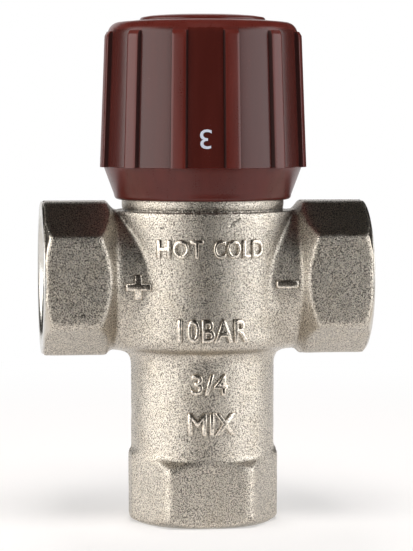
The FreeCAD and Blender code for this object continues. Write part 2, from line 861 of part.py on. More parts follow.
def shuttle():
    """Sliding sleeve whose two ends throttle the hot and the cold water, with its spider."""
    top = shuttle_base + size.shuttle_height
    body = sleeve("shuttle", shuttle_inner, shuttle_radius, shuttle_base, size.shuttle_height)
    for end in (shuttle_base, top):
        bevel_edges(body, size.edge_bevel, lambda edge: is_ring(edge, shuttle_inner, end))
    start = hub_radius - size.hub_wall / 2
    reach = shuttle_inner + size.end_gap
    half = size.spoke_width / 2
    spoke = new_sketch(body, "XY_Plane", lift=shuttle_base + size.edge_bevel)
    outline(spoke, [(start, -half), (reach, -half), (reach, half), (start, half)])
    around(extrude(spoke, size.spider_thickness - size.edge_bevel), size.spoke_count)
    hub = new_sketch(body, "XZ_Plane")
    inner = size.element_guide + size.close_fit
    outer = hub_radius
    outline(hub, [(inner, shuttle_base), (outer, shuttle_base), (outer, hub_top), (inner, hub_top)])
    revolve(hub)
    return body


def shuttle_seal():
    """Parts the hot chamber from the cold one round the shuttle."""
    inner = shuttle_radius + size.running_fit
    return o_ring("shuttle_seal", inner, size.shuttle_seal_section, size.arm_height)


def return_spring():
    """Pushes the element and the shuttle up against the pin."""
    seats = (retainer_top, element_flange_base)
    return coil_spring("return_spring", return_coil_radius, size.return_wire, *seats, size.return_coils)


def spring_retainer():
    """Spoked ring on the step of the mixing bore, with the seat of the return spring."""
    rim = mixing_bore - size.assembly_gap / 2
    seat_inner = size.capsule_radius + size.loose_fit
    ring_inner = rim - size.retainer_rim
    body = sleeve("spring_retainer", ring_inner, rim, retainer_base, size.retainer_thickness)
    half = size.spoke_width / 2
    spoke = new_sketch(body, "XY_Plane", lift=retainer_base)
    start, reach = retainer_seat - size.end_gap, rim - size.retainer_rim / 2
    outline(spoke, [(start, -half), (reach, -half), (reach, half), (start, half)])
    around(extrude(spoke, size.retainer_thickness), size.spoke_count)
    base, top = retainer_base, retainer_top
    seat = [(seat_inner, base), (retainer_seat, base), (retainer_seat, top), (seat_inner, top)]
    revolve(outline(new_sketch(body, "XZ_Plane"), seat))
    return body


def handwheel():
    """Ribbed drum with a tapered skirt, a top plate with a recess, a hub and a stop lug."""
    body = turned(
        "handwheel",
        [
            (0, skirt_base),
            (skirt_base_radius - size.skirt_round, skirt_base),
            (skirt_base_radius, skirt_base + size.skirt_round),
            (skirt_top_radius, drum_base),
            (size.drum_radius, drum_base),
            (drum_top_radius, drum_shoulder),
            (drum_top_radius - size.shoulder_width * 0.28, drum_top - size.drum_shoulder_drop / 2),
            (drum_top_radius - size.shoulder_width, drum_top - size.dome),
            (recess_mouth, drum_top),
            (0, drum_top),
        ],
    )
    rib_inner = drum_top_radius - size.drum_wall * 0.8
    rib = new_sketch(body, "XZ_Plane", turn=size.rib_turn.value)
    outline(
        rib,
        [
            (rib_inner, drum_base),
            (rib_base_radius, drum_base),
            (rib_top_radius, rib_top - size.rib_bevel),
            (rib_top_radius - size.rib_height * 0.9, rib_top),
            (rib_inner, rib_top),
        ],
    )
    around(extrude(rib, size.rib_width, both=True), size.rib_count)

    inner_base = size.drum_radius - size.drum_wall
    inner_top = drum_top_radius - size.drum_wall
    hollow = [
        (0, skirt_base),
        (skirt_bore, skirt_base),
        (skirt_bore, skirt_base + 2 * size.skirt_round),
        (inner_base, drum_base + size.skirt_round),
        (inner_top, plate_base),
        (size.hub_wall_radius, plate_base),
        (size.hub_wall_radius, handwheel_hub_base),
        (0, handwheel_hub_base),
    ]
    revolve(outline(new_sketch(body, "XZ_Plane"), hollow), cut=True)
    recess = [
        (0, recess_floor),
        (recess_radius, recess_floor),
        (recess_radius, cap_base),
        (recess_mouth, cap_base),
        (recess_mouth, drum_top),
        (0, drum_top),
    ]
    revolve(outline(new_sketch(body, "XZ_Plane"), recess), cut=True)
    square = new_sketch(body, "XY_Plane", lift=handwheel_hub_base)
    outline(square, polygon(square_flats + 2 * size.close_fit, 4, 45))
    extrude(square, recess_floor - handwheel_hub_base, cut=True)

    lug_base = hexagon_top + size.loose_fit
    lug_inner = size.stop_radius - size.stop_overlap
    lug = new_sketch(body, "XZ_Plane", turn=LUG_TURN)
    lug_top = plate_base + size.end_gap
    outline(
        lug,
        [
            (lug_inner, lug_base),
            (inner_base - size.end_gap, lug_base),
            (inner_top + size.end_gap, lug_top),
            (lug_inner, lug_top),
        ],
    )
    extrude(lug, size.lug_thickness, both=True)
    return body


def handwheel_washer():
    inner = size.screw_radius + size.assembly_gap
    return sleeve("handwheel_washer", inner, size.screw_washer, recess_floor, size.washer_thickness)


def handwheel_screw():
    """Pan-head screw with a cross recess, down into the spindle."""
    seat = recess_floor + size.washer_thickness
    end = screw_foot + size.end_gap
    head_top = seat + size.screw_head_height
    body = turned(
        "handwheel_screw",
        [
            (0, end),
            (size.screw_radius - size.screw_point, end),
            (size.screw_radius, end + size.screw_point),
            (size.screw_radius, seat),
            (size.screw_head, seat),
            (size.screw_head, head_top - size.screw_head_bevel),
            (size.screw_head - size.screw_head_bevel, head_top),
            (0, head_top),
        ],
    )
    long, narrow = size.screw_head * 0.55, size.screw_head * 0.12
    for across, up in ((long, narrow), (narrow, long)):
        slot = new_sketch(body, "XY_Plane", lift=head_top - size.screw_recess)
        outline(slot, [(-across, -up), (across, -up), (across, up), (-across, up)])
        extrude(slot, size.screw_recess, cut=True)
    return body


def cover_cap():
    """Round cap that snaps into the recess and hides the screw."""
    lip_outer = recess_radius - size.assembly_gap / 2
    lip_foot = cap_base - size.cap_lip_height
    body = turned(
        "cover_cap",
        [
            (lip_outer - size.cap_lip, lip_foot),
            (lip_outer, lip_foot),
            (lip_outer, cap_base),
            (size.cap_radius, cap_base),
            (size.cap_radius, cap_top),
            (0, cap_top),
            (0, cap_base),
            (lip_outer - size.cap_lip, cap_base),
        ],
    )
    round_edges(body, size.cap_round, lambda edge: is_ring(edge, size.cap_radius, cap_top))
    return body


# ---------------------------------------------------------------- build, check and write

PIECES = [
    valve_body(),
    bonnet(),
    bonnet_seal(),
    adjusting_spindle(),
    stem_seal("spindle_seal_lower", lower_seal),
    stem_seal("spindle_seal_upper", upper_seal),
    spindle_washer(),
    spindle_clip(),
    carrier_nut(),
    carrier_snap_ring(),
    thrust_cup(),
    overtravel_spring(),
    element_pin(),
    wax_element(),
    element_clip(),
    shuttle(),
    shuttle_seal(),
    return_spring(),
    spring_retainer(),
    handwheel(),
    handwheel_washer(),
    handwheel_screw(),
    cover_cap(),
]

document.recompute()
for thing in document.Objects:
    if {"Invalid", "Error"} & set(thing.State):
        raise RuntimeError(f"{thing.Label} did not build: {thing.State}")
for piece in PIECES:
    if piece.Shape.isNull() or not piece.Shape.isValid() or len(piece.Shape.Solids) != 1:
        raise RuntimeError(f"{piece.Label} is not one valid solid")

os.makedirs("parts", exist_ok=True)
for piece in PIECES:
    piece.Shape.exportStep(os.path.join("parts", f"{piece.Label}.step"))
    print(f"{piece.Label}: {piece.Shape.Volume:.1f} mm3")
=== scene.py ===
"""Tee-pattern thermostatic mixing valve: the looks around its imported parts.

A nickel-plated forging with three threaded ends, a ribbed burgundy handwheel with a dial, and the
pieces inside. Lengths are metres in the parts' own frame; a shape's rules are worked in
millimetres inside its node tree and scaled at its end.
"""

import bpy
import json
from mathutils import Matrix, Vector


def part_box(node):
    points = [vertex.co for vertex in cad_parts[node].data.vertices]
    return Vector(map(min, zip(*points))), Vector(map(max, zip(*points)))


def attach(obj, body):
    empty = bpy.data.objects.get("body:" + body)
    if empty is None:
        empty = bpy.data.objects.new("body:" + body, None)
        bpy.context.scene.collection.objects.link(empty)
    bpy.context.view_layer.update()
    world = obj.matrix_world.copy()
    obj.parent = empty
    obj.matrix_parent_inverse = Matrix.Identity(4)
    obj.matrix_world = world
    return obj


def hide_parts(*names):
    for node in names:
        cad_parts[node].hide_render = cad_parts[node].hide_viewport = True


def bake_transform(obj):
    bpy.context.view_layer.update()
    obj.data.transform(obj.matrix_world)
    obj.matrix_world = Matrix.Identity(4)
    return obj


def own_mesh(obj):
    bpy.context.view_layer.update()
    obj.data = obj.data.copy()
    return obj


bl_info = {
    "name": "Mixing Valve",
    "version": (1, 0, 0),
    "blender": (4, 5, 0),
    "location": "View3D > Sidebar > Mixing Valve",
    "description": "Dresses a thermostatic mixing valve and sets its stage",
    "category": "Object",
}

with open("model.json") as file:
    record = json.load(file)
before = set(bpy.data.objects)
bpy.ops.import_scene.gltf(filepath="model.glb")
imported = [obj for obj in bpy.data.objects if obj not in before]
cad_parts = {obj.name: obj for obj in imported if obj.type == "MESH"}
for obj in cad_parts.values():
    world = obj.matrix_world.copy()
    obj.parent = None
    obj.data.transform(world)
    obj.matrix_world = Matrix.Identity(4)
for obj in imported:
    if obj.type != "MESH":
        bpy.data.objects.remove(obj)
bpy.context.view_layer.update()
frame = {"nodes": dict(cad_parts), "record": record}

import json
import math

import bmesh
import bpy
from bpy.props import FloatProperty, FloatVectorProperty, IntProperty, PointerProperty
from mathutils import Matrix, Vector
from mathutils.bvhtree import BVHTree

MM = 0.001
BODY_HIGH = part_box("valve_body")[1]
WHEEL_LOW, WHEEL_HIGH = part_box("handwheel")
CAP_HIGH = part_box("cover_cap")[1]
PORTS = {mount["name"]: mount for mount in frame["record"]["mounts"]}
ARM_HEIGHT = PORTS["hot_inlet"]["pos_m"][2]

SIN_60, COS_60 = 0.866, 0.5

# From here to the next heading, numbers are millimetres. Where a comment says level, they count from
# the inlets' axis, and elsewhere from the outlet's face or the valve's axis.

# the reach of the rounding at each corner of the forging
SOFT = {
    "barrel_foot": 4.4, "barrel_rim": 0.6, "tube": 3.2, "arm_below": 5.5, "arm_above": 0.5,
    "collar_rim": 0.5, "collar": 0.6, "groove": 0.3, "flash": 0.4,
    "inlet_side": 1.1, "inlet_top": 0.9, "inlet_bevel": 0.3, "inlet_back": 0.4, "inlet": 0.7,
    "outlet_side": 2.2, "outlet_trim": 0.8, "outlet_bevel": 0.5, "outlet_back": 0.6, "outlet": 0.5,
}
# ends of plain solids that lie hidden inside the next one: levels of the tube's top and the collar's foot
TUBE_TOP, COLLAR_FOOT = -6.0, 8.0
TUBE_FOOT, ARM_END = 12.0, 24.0
# the bevel round a face starts this far inside the hexagon's flats
INLET_BEVEL, OUTLET_BEVEL = 0.2, 0.6
# the forging's own faces stay this far behind the turned ones
FACE_GAP = 0.25

# waterways on the valve's axis: radius, lowest and highest level; an open end is past the forging
OPEN_END = 100.0
AXIAL_BORES = (
    (10.0, -OPEN_END, -27.4),
    (11.0, -29.4, -7.4),
    (14.5, -7.9, -2.0),
    (12.2, -6.4, 4.6),
    (15.0, 2.0, OPEN_END),
)
INLET_BORE, OUTLET_BORE, ARM_BORE_END = 9.5, 10.0, 16.8
LINING_ROOM, INLET_LINING_END, OUTLET_LINING_END = 13.6, 21.2, 13.8
# an inlet's window on the chamber: half width and its two ends, then the levels of the hot and cold one
WINDOW_HALF, WINDOW_INNER, WINDOW_OUTER = 6.5, 12.0, 17.3
HOT_WINDOW, COLD_WINDOW = (-7.4, -2.5), (2.5, 6.6)
# the block of space that the forging's skin is looked for in
FIELD_LOW, FIELD_HIGH = (-36.0, -21.6, -1.0), (36.0, 21.6, 73.6)

# marks on the forging: a wavy groove below the collar, a nick and two pits beside it
GROOVE_RADIUS, GROOVE_WIDTH, GROOVE_WAVER = 17.8, 0.6, 0.5
NICK = {"x": 4.7, "z": 65.2, "sine": 0.83, "cosine": 0.56, "half_width": 0.26, "half_length": 1.7}
PITS = (((-10.4, 64.0), 0.34), ((4.6, 62.6), 0.3))

# the raised letters' rounding as a share of their size; the printed digits' thickness and widths
LETTER_ROUNDING = 0.052
INK_RELIEF, DIGIT_WIDTHS = 0.12, {"1": 0.8, "2": 2.4, "3": 2.4, "4": 2.4}

# the drum's inner wall, and a radius between that wall and its outer face
DRUM_BORE, DRUM_INSIDE = 19.8, 20.2
# tops of the drum and the cap, below their solids' tops at the rim and at the cap's middle
WHEEL_TOP_DROP, CAP_TOP_DROP = 0.35, 0.42


# ---------------------------------------------------------------- sizes and colours


def length(name, description, default):
    """A length in metres, typed here in millimetres."""
    return FloatProperty(
        name=name, description=description, default=default * MM, min=0.0, unit="LENGTH", precision=5
    )


def angle(name, description, default, low=0.0):
    """An angle, typed here in degrees."""
    return FloatProperty(
        name=name, description=description, default=math.radians(default), min=low, subtype="ANGLE"
    )


def power(name, description, default):
    """A lamp's power in watts."""
    return FloatProperty(name=name, description=description, default=default, min=0.0, unit="POWER")


def colour(name, description, default):
    """A colour in linear shares of red, green and blue."""
    return FloatVectorProperty(
        name=name, description=description, default=default, size=3, min=0.0, max=1.0, subtype="COLOR"
    )


class ForgingSizes(bpy.types.PropertyGroup):
    """The valve body's shape, with the roundings that forging leaves."""

    arm_height: length("Arm Height", "Axis of the two inlets above the outlet's face", ARM_HEIGHT / MM)
    arm_reach: length("Arm Reach", "Valve axis to an inlet's face", BODY_HIGH.x / MM)
    arm_radius: length("Arm Radius", "Neck between an inlet hexagon and the barrel", 14.5)
    inlet_flats: length("Inlet Flats", "Inlet hexagon across its flats", 33.0)
    outlet_flats: length("Outlet Flats", "Outlet hexagon across its flats", 31.0)
    outlet_width: length("Outlet Width", "Outlet hexagon across its two trimmed sides", 32.0)
    inlet_length: length("Inlet Length", "Length of an inlet hexagon with its sloping back", 15.6)
    outlet_length: length("Outlet Length", "Length of the outlet hexagon", 15.6)
    barrel_radius: length("Barrel Radius", "Barrel between the two arms", 19.3)
    barrel_drop: length("Barrel Drop", "Underside of the barrel below the inlets' axis", 15.0)
    barrel_rise: length("Barrel Rise", "Upper edge of the barrel above the inlets' axis", 14.6)
    collar_radius: length("Collar Radius", "Collar that the bonnet screws into", 17.5)
    collar_top: length("Collar Top", "Height of the collar's rim", BODY_HIGH.z / MM)
    tube_radius: length("Tube Radius", "Outlet tube below the barrel", 15.4)
    flash: length("Parting Flash", "Ridge that the dies leave on the parting plane", 0.24)
    unevenness: length("Unevenness", "Slow swell and dip of the forged skin", 0.16)
    voxel: length("Cell", "Edge of a cell that the skin is drawn with", 0.54)


class ThreadSizes(bpy.types.PropertyGroup):
    """The female pipe thread in each end."""

    crest_radius: length("Crest Radius", "Innermost radius of the thread", 12.06)
    depth: length("Depth", "Height of the thread's profile", 1.16)
    pitch: length("Pitch", "Distance between two turns", 1.814)
    run: length("Run", "Depth of the threaded hole", 14.0)
    mouth_radius: length("Mouth Radius", "Countersink at the face", 13.4)


class HandwheelSizes(bpy.types.PropertyGroup):
    """The ribbed drum with its skirt."""

    drum_radius: length("Drum Radius", "Drum at its foot", 21.6)
    shoulder_radius: length("Shoulder Radius", "Drum at its shoulder", 20.5)
    skirt_height: length("Skirt Height", "Height of the tapered skirt below the drum", 7.0)
    skirt_radius: length("Skirt Radius", "Foot of the tapered skirt", 19.1)
    rib_count: IntProperty(name="Ribs", description="Number of grip ribs", default=12, min=3, max=48)
    rib_height: length("Rib Height", "A rib stands out by this much", 1.0)
    rib_flat: angle("Rib Flat", "Turn that the flat top of a rib fills", 6.2)
    rib_flank: angle("Rib Flank", "Turn that each side of a rib fills", 1.4)
    rib_drop: length("Rib Drop", "Ribs' upper ends below the drum's top", 2.9)
    rib_turn: angle("Rib Turn", "Turn of the first rib", 10.4)
    digit_height: length("Digit Height", "Height of a dial digit", 4.05)
    digit_rise: length("Digit Rise", "Digits' middle above the drum's foot", 6.1)
    digit_turn: angle("Digit Turn", "Turn of the digits from the rib pattern's middle", 4.6)


class MarkSizes(bpy.types.PropertyGroup):
    """Raised words on the forging."""

    relief: length("Relief", "A letter stands out by this much", 0.62)
    weight: FloatProperty(
        name="Weight", description="Thickening of the strokes, as a share of the letter", default=-0.004
    )
    port_words: length("Port Words", "Capital height of the words HOT and COLD", 4.1)
    rating: length("Rating", "Capital height of the pressure rating", 5.2)
    bore_size: length("Bore Size", "Height of the thread size", 4.7)
    outlet_word: length("Outlet Word", "Capital height of the word MIX", 4.8)
    signs: length("Signs", "Height of the plus sign, of which the minus sign is a third", 5.4)


class FinishColours(bpy.types.PropertyGroup):
    """Colours of the finishes."""

    nickel: colour("Nickel", "Plated forging", (0.575, 0.525, 0.455))
    tarnish: colour("Tarnish", "Warm patches on the plated forging", (0.56, 0.49, 0.39))
    turned_nickel: colour("Turned Nickel", "Plated faces that were turned", (0.66, 0.64, 0.60))
    burgundy: colour("Burgundy", "Handwheel and cap", (0.110, 0.0175, 0.0125))
    dial_ink: colour("Dial Ink", "Digits on the handwheel", (0.70, 0.74, 0.86))
    brass: colour("Brass", "Turned brass inside", (0.66, 0.46, 0.20))
    steel: colour("Steel", "Springs, rings and screw", (0.56, 0.55, 0.53))
    rubber: colour("Rubber", "Seal rings", (0.018, 0.018, 0.019))
    washer: colour("Washer", "Low-friction washer", (0.78, 0.77, 0.72))
    shuttle: colour("Shuttle", "Moulded shuttle", (0.055, 0.058, 0.062))


class StageSizes(bpy.types.PropertyGroup):
    """Camera and lamps."""

    distance: FloatProperty(
        name="Distance", description="Camera to the valve", default=0.52, min=0.1, unit="LENGTH"
    )
    azimuth: angle("Azimuth", "Camera's turn from the front", -6.5, -math.pi)
    elevation: angle("Elevation", "Camera's rise", 3.8)
    lens: FloatProperty(name="Lens", description="Focal length in millimetres", default=156.8, min=10.0)
    key_power: power("Key Power", "Large lamp on the left", 3.9)
    fill_power: power("Fill Power", "Large lamp on the right", 3.1)
    top_power: power("Top Power", "Lamp overhead", 3.0)
    back_power: power("Back Power", "Lamp above and behind the valve", 1.5)


SIZE_GROUPS = {
    "forging": ForgingSizes,
    "thread": ThreadSizes,
    "handwheel": HandwheelSizes,
    "marks": MarkSizes,
    "colours": FinishColours,
    "stage": StageSizes,
}


def sizes(group):
    """The scene's own settings of a group."""
    return getattr(bpy.context.scene, "valve_" + group)


def tree_numbers(group):
    """A group's lengths in millimetres, by the names of a tree's inputs."""
    given = sizes(group)
    names = SIZE_GROUPS[group].__annotations__
    return {given.bl_rna.properties[name].name: getattr(given, name) / MM for name in names}


# ---------------------------------------------------------------- node trees as expressions


class Value:
    """A node's output that Python arithmetic works on; each operation adds a Math node."""

    def __init__(self, graph, output):
        self.graph = graph
        self.output = output

    def maths(self, operation, *others):
        values = dict(enumerate((self, *others)))
        return self.graph.node("ShaderNodeMath", {"operation": operation}, values)

    def __add__(self, other):
        return self.maths("ADD", other)

    __radd__ = __add__

    def __mul__(self, other):
        return self.maths("MULTIPLY", other)

    __rmul__ = __mul__

    def __sub__(self, other):
        return self.maths("SUBTRACT", other)

    def __rsub__(self, other):
        return (self * -1.0) + other

    def __truediv__(self, other):
        return self.maths("DIVIDE", other)

    def __neg__(self):
        return self * -1.0

    def __abs__(self):
        return self.maths("ABSOLUTE")

    def __pow__(self, power):
        return self.maths("POWER", power)

    def root(self):
        return self.maths("SQRT")

    def fraction(self):
        return self.maths("FRACT")

    def larger(self, other):
        return self.maths("MAXIMUM", other)

    def smaller(self, other):
        return self.maths("MINIMUM", other)

    def soft_larger(self, other, reach):
        return self.maths("SMOOTH_MAX", other, reach)

    def soft_smaller(self, other, reach):
        return self.maths("SMOOTH_MIN", other, reach)

    def angle(self, along):
        """The angle of a point, when this value is its y and the other its x."""
        return self.maths("ARCTAN2", along)

    def less_than(self, other):
        return self.maths("LESS_THAN", other)

    def more_than(self, other):
        return self.maths("GREATER_THAN", other)

    def clamped(self):
        return self.larger(0.0).smaller(1.0)

    def ramp(self, low, high, start=0.0, end=1.0):
        """Rises smoothly from start to end as this value goes from low to high."""
        values = {"Value": self, "From Min": low, "From Max": high, "To Min": start, "To Max": end}
        return self.graph.node("ShaderNodeMapRange", {"interpolation_type": "SMOOTHSTEP"}, values)


class Graph:
    """A node tree under construction."""

    def __init__(self, tree):
        self.tree = tree

    def node(self, kind, settings=None, values=None, output=0):
        """Adds a node: its settings first, then the values or links of its sockets. Gives the
        output asked for, or every output for "all"."""
        made = self.tree.nodes.new(kind)
        for name, setting in (settings or {}).items():
            setattr(made, name, setting)
        for name, value in (values or {}).items():
            if isinstance(name, int):
                socket = made.inputs[name]
            else:
                found = [s for s in made.inputs if s.identifier == name]
                socket = found[0] if found else made.inputs[name]
            if isinstance(value, Value):
                self.tree.links.new(value.output, socket)
            else:
                socket.default_value = value
        if output == "all":
            return [Value(self, each) for each in made.outputs]
        found = [s for s in made.outputs if s.identifier == output]
        return Value(self, found[0] if found else made.outputs[output])

    def parts(self, vector):
        return self.node("ShaderNodeSeparateXYZ", None, {0: vector}, "all")[:3]

    def joined(self, x, y, z):
        return self.node("ShaderNodeCombineXYZ", None, {0: x, 1: y, 2: z})

    def mix(self, share, first, second):
        """Mixes two colours."""
        values = {"Factor_Float": share, "A_Color": first, "B_Color": second}
        return self.node("ShaderNodeMix", {"data_type": "RGBA"}, values, "Result_Color")

    def noise(self, place, scale, detail=2.0, roughness=0.5):
        values = {"Vector": place, "Scale": scale, "Detail": detail, "Roughness": roughness}
        return self.node("ShaderNodeTexNoise", {"noise_dimensions": "3D"}, values)

    def streaks(self, place, squeeze, scale=1.0):
        """Noise drawn out along the axes that are squeezed least."""
        squeezed = self.node("ShaderNodeMapping", None, {"Vector": place, "Scale": squeeze})
        return self.noise(squeezed, scale, 3.0)


def emptied(owner):
    """The node tree of a material or a world, with nothing in it."""
    owner.use_nodes = True
    owner.node_tree.nodes.clear()
    return Graph(owner.node_tree)


def seen_or_mirrored(graph):
    """1 for what the camera sees straight, in gloss or through something clear, and 0 for light."""
    path = graph.node("ShaderNodeLightPath", None, None, "all")
    return path[0].larger(path[3]).larger(path[6])


def geometry_graph(name, numbers):
    """A geometry tree with a named input for each number, and one for the material."""
    tree = bpy.data.node_groups.new(name, "GeometryNodeTree")
    tree.interface.new_socket("Geometry", in_out="INPUT", socket_type="NodeSocketGeometry")
    for label, number in numbers.items():
        kind = "NodeSocketInt" if isinstance(number, int) else "NodeSocketFloat"
        tree.interface.new_socket(label, in_out="INPUT", socket_type=kind)
    tree.interface.new_socket("Material", in_out="INPUT", socket_type="NodeSocketMaterial")
    tree.interface.new_socket("Geometry", in_out="OUTPUT", socket_type="NodeSocketGeometry")
    graph = Graph(tree)
    outputs = graph.node("NodeGroupInput", None, None, "all")
    names = ["Geometry", *numbers, "Material"]
    return graph, dict(zip(names, outputs))


def end_tree(graph, geometry, material):
    """Ends a tree worked in millimetres with real, smoothly shaded faces in metres."""
    scaled = graph.node("GeometryNodeTransform", None, {"Geometry": geometry, "Scale": (MM,) * 3})
    smooth = graph.node("GeometryNodeSetShadeSmooth", None, {"Geometry": scaled})
    real = graph.node("GeometryNodeRealizeInstances", None, {"Geometry": smooth})
    dressed = graph.node("GeometryNodeSetMaterial", None, {"Geometry": real, "Material": material})
    graph.node("NodeGroupOutput", None, {0: dressed}, "all")


def moved_out(graph, given, place, radius, wanted):
    """Ends a tree that moves each point away from the Z axis, from one radius to another."""
    x, y, z = place
    grow = wanted / radius
    values = {"Geometry": given["Geometry"], "Position": graph.joined(x * grow, y * grow, z)}
    end_tree(graph, graph.node("GeometryNodeSetPosition", None, values), given["Material"])
    return graph.tree


def grown(name, mesh, tree, numbers, material):
    """An object whose mesh is what a geometry tree makes of another mesh."""
    piece = bpy.data.objects.new(name, mesh)
    bpy.context.scene.collection.objects.link(piece)
    modifier = piece.modifiers.new("Shape", "NODES")
    modifier.node_group = tree
    given = {**numbers, "Material": material}
    for item in tree.interface.items_tree:
        if item.in_out == "INPUT" and item.name in given:
            modifier[item.identifier] = given[item.name]
    evaluated = piece.evaluated_get(bpy.context.evaluated_depsgraph_get())
    solid = bpy.data.meshes.new_from_object(evaluated)
    piece.modifiers.remove(modifier)
    piece.data = solid
    solid.name = name
    bpy.data.meshes.remove(mesh)
    bpy.data.node_groups.remove(tree)
    return piece


# ---------------------------------------------------------------- finishes


def object_place(graph):
    """Object coordinates in millimetres."""
    place = graph.node("ShaderNodeTexCoord", None, None, 3)
    return graph.node("ShaderNodeVectorMath", {"operation": "SCALE"}, {0: place, "Scale": 1000.0})


def finish(name, build):
    """A material whose sockets build() fills; it returns the values of the shader's sockets."""
    made = bpy.data.materials.get(name)
    if made:
        return made
    made = bpy.data.materials.new(name)
    graph = emptied(made)
    shader = graph.node("ShaderNodeBsdfPrincipled", None, build(graph, object_place(graph)))
    graph.node("ShaderNodeOutputMaterial", None, {"Surface": shader}, "all")
    return made


def bump(graph, height, distance, strength=1.0):
    """A normal from a height, whose unit is a distance in millimetres."""
    values = {"Height": height, "Distance": distance * MM, "Strength": strength}
    return graph.node("ShaderNodeBump", None, values)


def rgba(triple, scale=1.0):
    """A colour for a socket, made lighter or darker."""
    return (*(min(1.0, part * scale) for part in triple), 1.0)


def near(value, width):
    """1 where a value is near zero, falling to 0 at that width."""
    return abs(value).ramp(width * 0.6, width, 1.0, 0.0)


def from_rib(turn):
    """How far a point is from its nearest rib, where a turn of 1 leads from a rib to the next."""
    return abs((turn + 0.5).fraction() - 0.5)


def groove_waver(graph, x, y):
    """How far the groove below the collar leaves its level, round the valve."""
    return (graph.noise(graph.joined(x, y, 0.0), 0.7, 2.0) - 0.5) * GROOVE_WAVER


def casting_faults(x, z):
    """1 in the nick and the two pits on the front of the collar."""
    right, up = x - NICK["x"], z - NICK["z"]
    across = right * NICK["cosine"] - up * NICK["sine"]
    along = right * NICK["sine"] + up * NICK["cosine"]
    faults = near(across, NICK["half_width"]) * near(along, NICK["half_length"])
    for (pit_x, pit_z), radius in PITS:
        faults = faults + near(((x - pit_x) ** 2.0 + (z - pit_z) ** 2.0).root(), radius)
    return faults


def shot_blasted_nickel(graph, place):
    """Plated over a shot-blasted forging: coarse facets that glint, with turned bevels; painted glints on
    the grain's peaks, and painted shade in its hollows, in the groove, the nick and the pits.
    """
    shades = sizes("colours")
    forging = sizes("forging")
    x, y, z = graph.parts(place)
    reach, height = forging.arm_reach / MM, forging.arm_height / MM
    off_axis = (y * y + (z - height) * (z - height)).root()
    bevel = (abs(x) - reach) * SIN_60 + (off_axis - (forging.inlet_flats / 2 / MM - INLET_BEVEL)) * COS_60
    turned = near(bevel, 0.16) * abs(x).ramp(24.0, 27.0)

    grains = graph.node("ShaderNodeTexVoronoi", {"feature": "F1"}, {"Vector": place, "Scale": 3.0})
    grit = graph.noise(place, 4.4, 2.0, 0.7)
    pits = graph.noise(place, 1.5, 3.0, 0.65)
    swell = graph.noise(place, 0.22, 2.0, 0.5)
    rough = 1.0 - turned * 0.9
    skin = (grains * 0.5 + grit * 1.1 + pits * 0.5) * rough
    tarnish = graph.mix(swell.ramp(0.42, 0.75, 0.0, 0.5), rgba(shades.nickel), rgba(shades.tarnish))
    # painted shade in the grain's hollows and painted glints on its peaks, taken from the same noise as
    # the bump
    painted_shade_hollows = grit.ramp(0.41, 0.50, 1.0, 0.0) * rough
    painted_glint_peaks = grit.ramp(0.50, 0.60) * rough

    # painted shade in the groove below the collar all round, and in the nick and pits only at the front
    ledge = z - height - forging.barrel_rise / MM
    groove_edge = GROOVE_RADIUS + GROOVE_WIDTH
    inside = (x * x + y * y).root().ramp(groove_edge, groove_edge + 0.4, 1.0, 0.0)
    painted_shade_recesses = near(ledge + groove_waver(graph, x, y), 0.34) * inside
    painted_shade_recesses = (painted_shade_recesses + casting_faults(x, z) * y.ramp(-10.0, -9.0, 1.0, 0.0)).smaller(1.0)
    # from here tarnish also carries the painted shade of the groove, the nick and the pits
    tarnish = graph.mix(painted_shade_recesses * 0.85, tarnish, rgba(shades.nickel, 0.12))
    dark = graph.mix(painted_shade_hollows * 0.85, tarnish, rgba(shades.nickel, 0.16))
    return {
        "Base Color": graph.mix(painted_glint_peaks * 0.7, dark, rgba(shades.nickel, 1.65)),
        "Metallic": 1.0,
        "Roughness": (grit * 0.3 + 0.14) * (1.0 - turned * 0.35),
        "Normal": bump(graph, skin - painted_shade_recesses * 2.6, 0.088),
    }


def rubbed_nickel(graph, place):
    """The crests of the raised words, painted brighter than the skin round them as a painted highlight.
    """
    shades = sizes("colours")
    grain = graph.noise(place, 3.2, 2.0, 0.6)
    # painted highlight: the words are coloured brighter than the forging round them
    dull, bright = rgba(shades.nickel, 0.9), rgba(shades.nickel, 1.7)
    return {
        "Base Color": graph.mix(grain.ramp(0.4, 0.6), dull, bright),
        "Metallic": 1.0,
        "Roughness": grain * 0.2 + 0.12,
        "Normal": bump(graph, grain, 0.05),
    }


def turned_nickel(graph, place):
    """Plated brass straight from the tool: fine marks round the axis and a dull sheen."""
    shades = sizes("colours")
    marks = graph.streaks(place, (6.0, 0.6, 6.0))
    cloud = graph.noise(place, 0.4, 3.0).ramp(0.35, 0.7, 0.0, 0.4)
    return {
        "Base Color": graph.mix(cloud, rgba(shades.turned_nickel), rgba(shades.nickel)),
        "Metallic": 1.0,
        "Roughness": marks * 0.16 + 0.16,
        "Normal": bump(graph, marks, 0.03),
    }


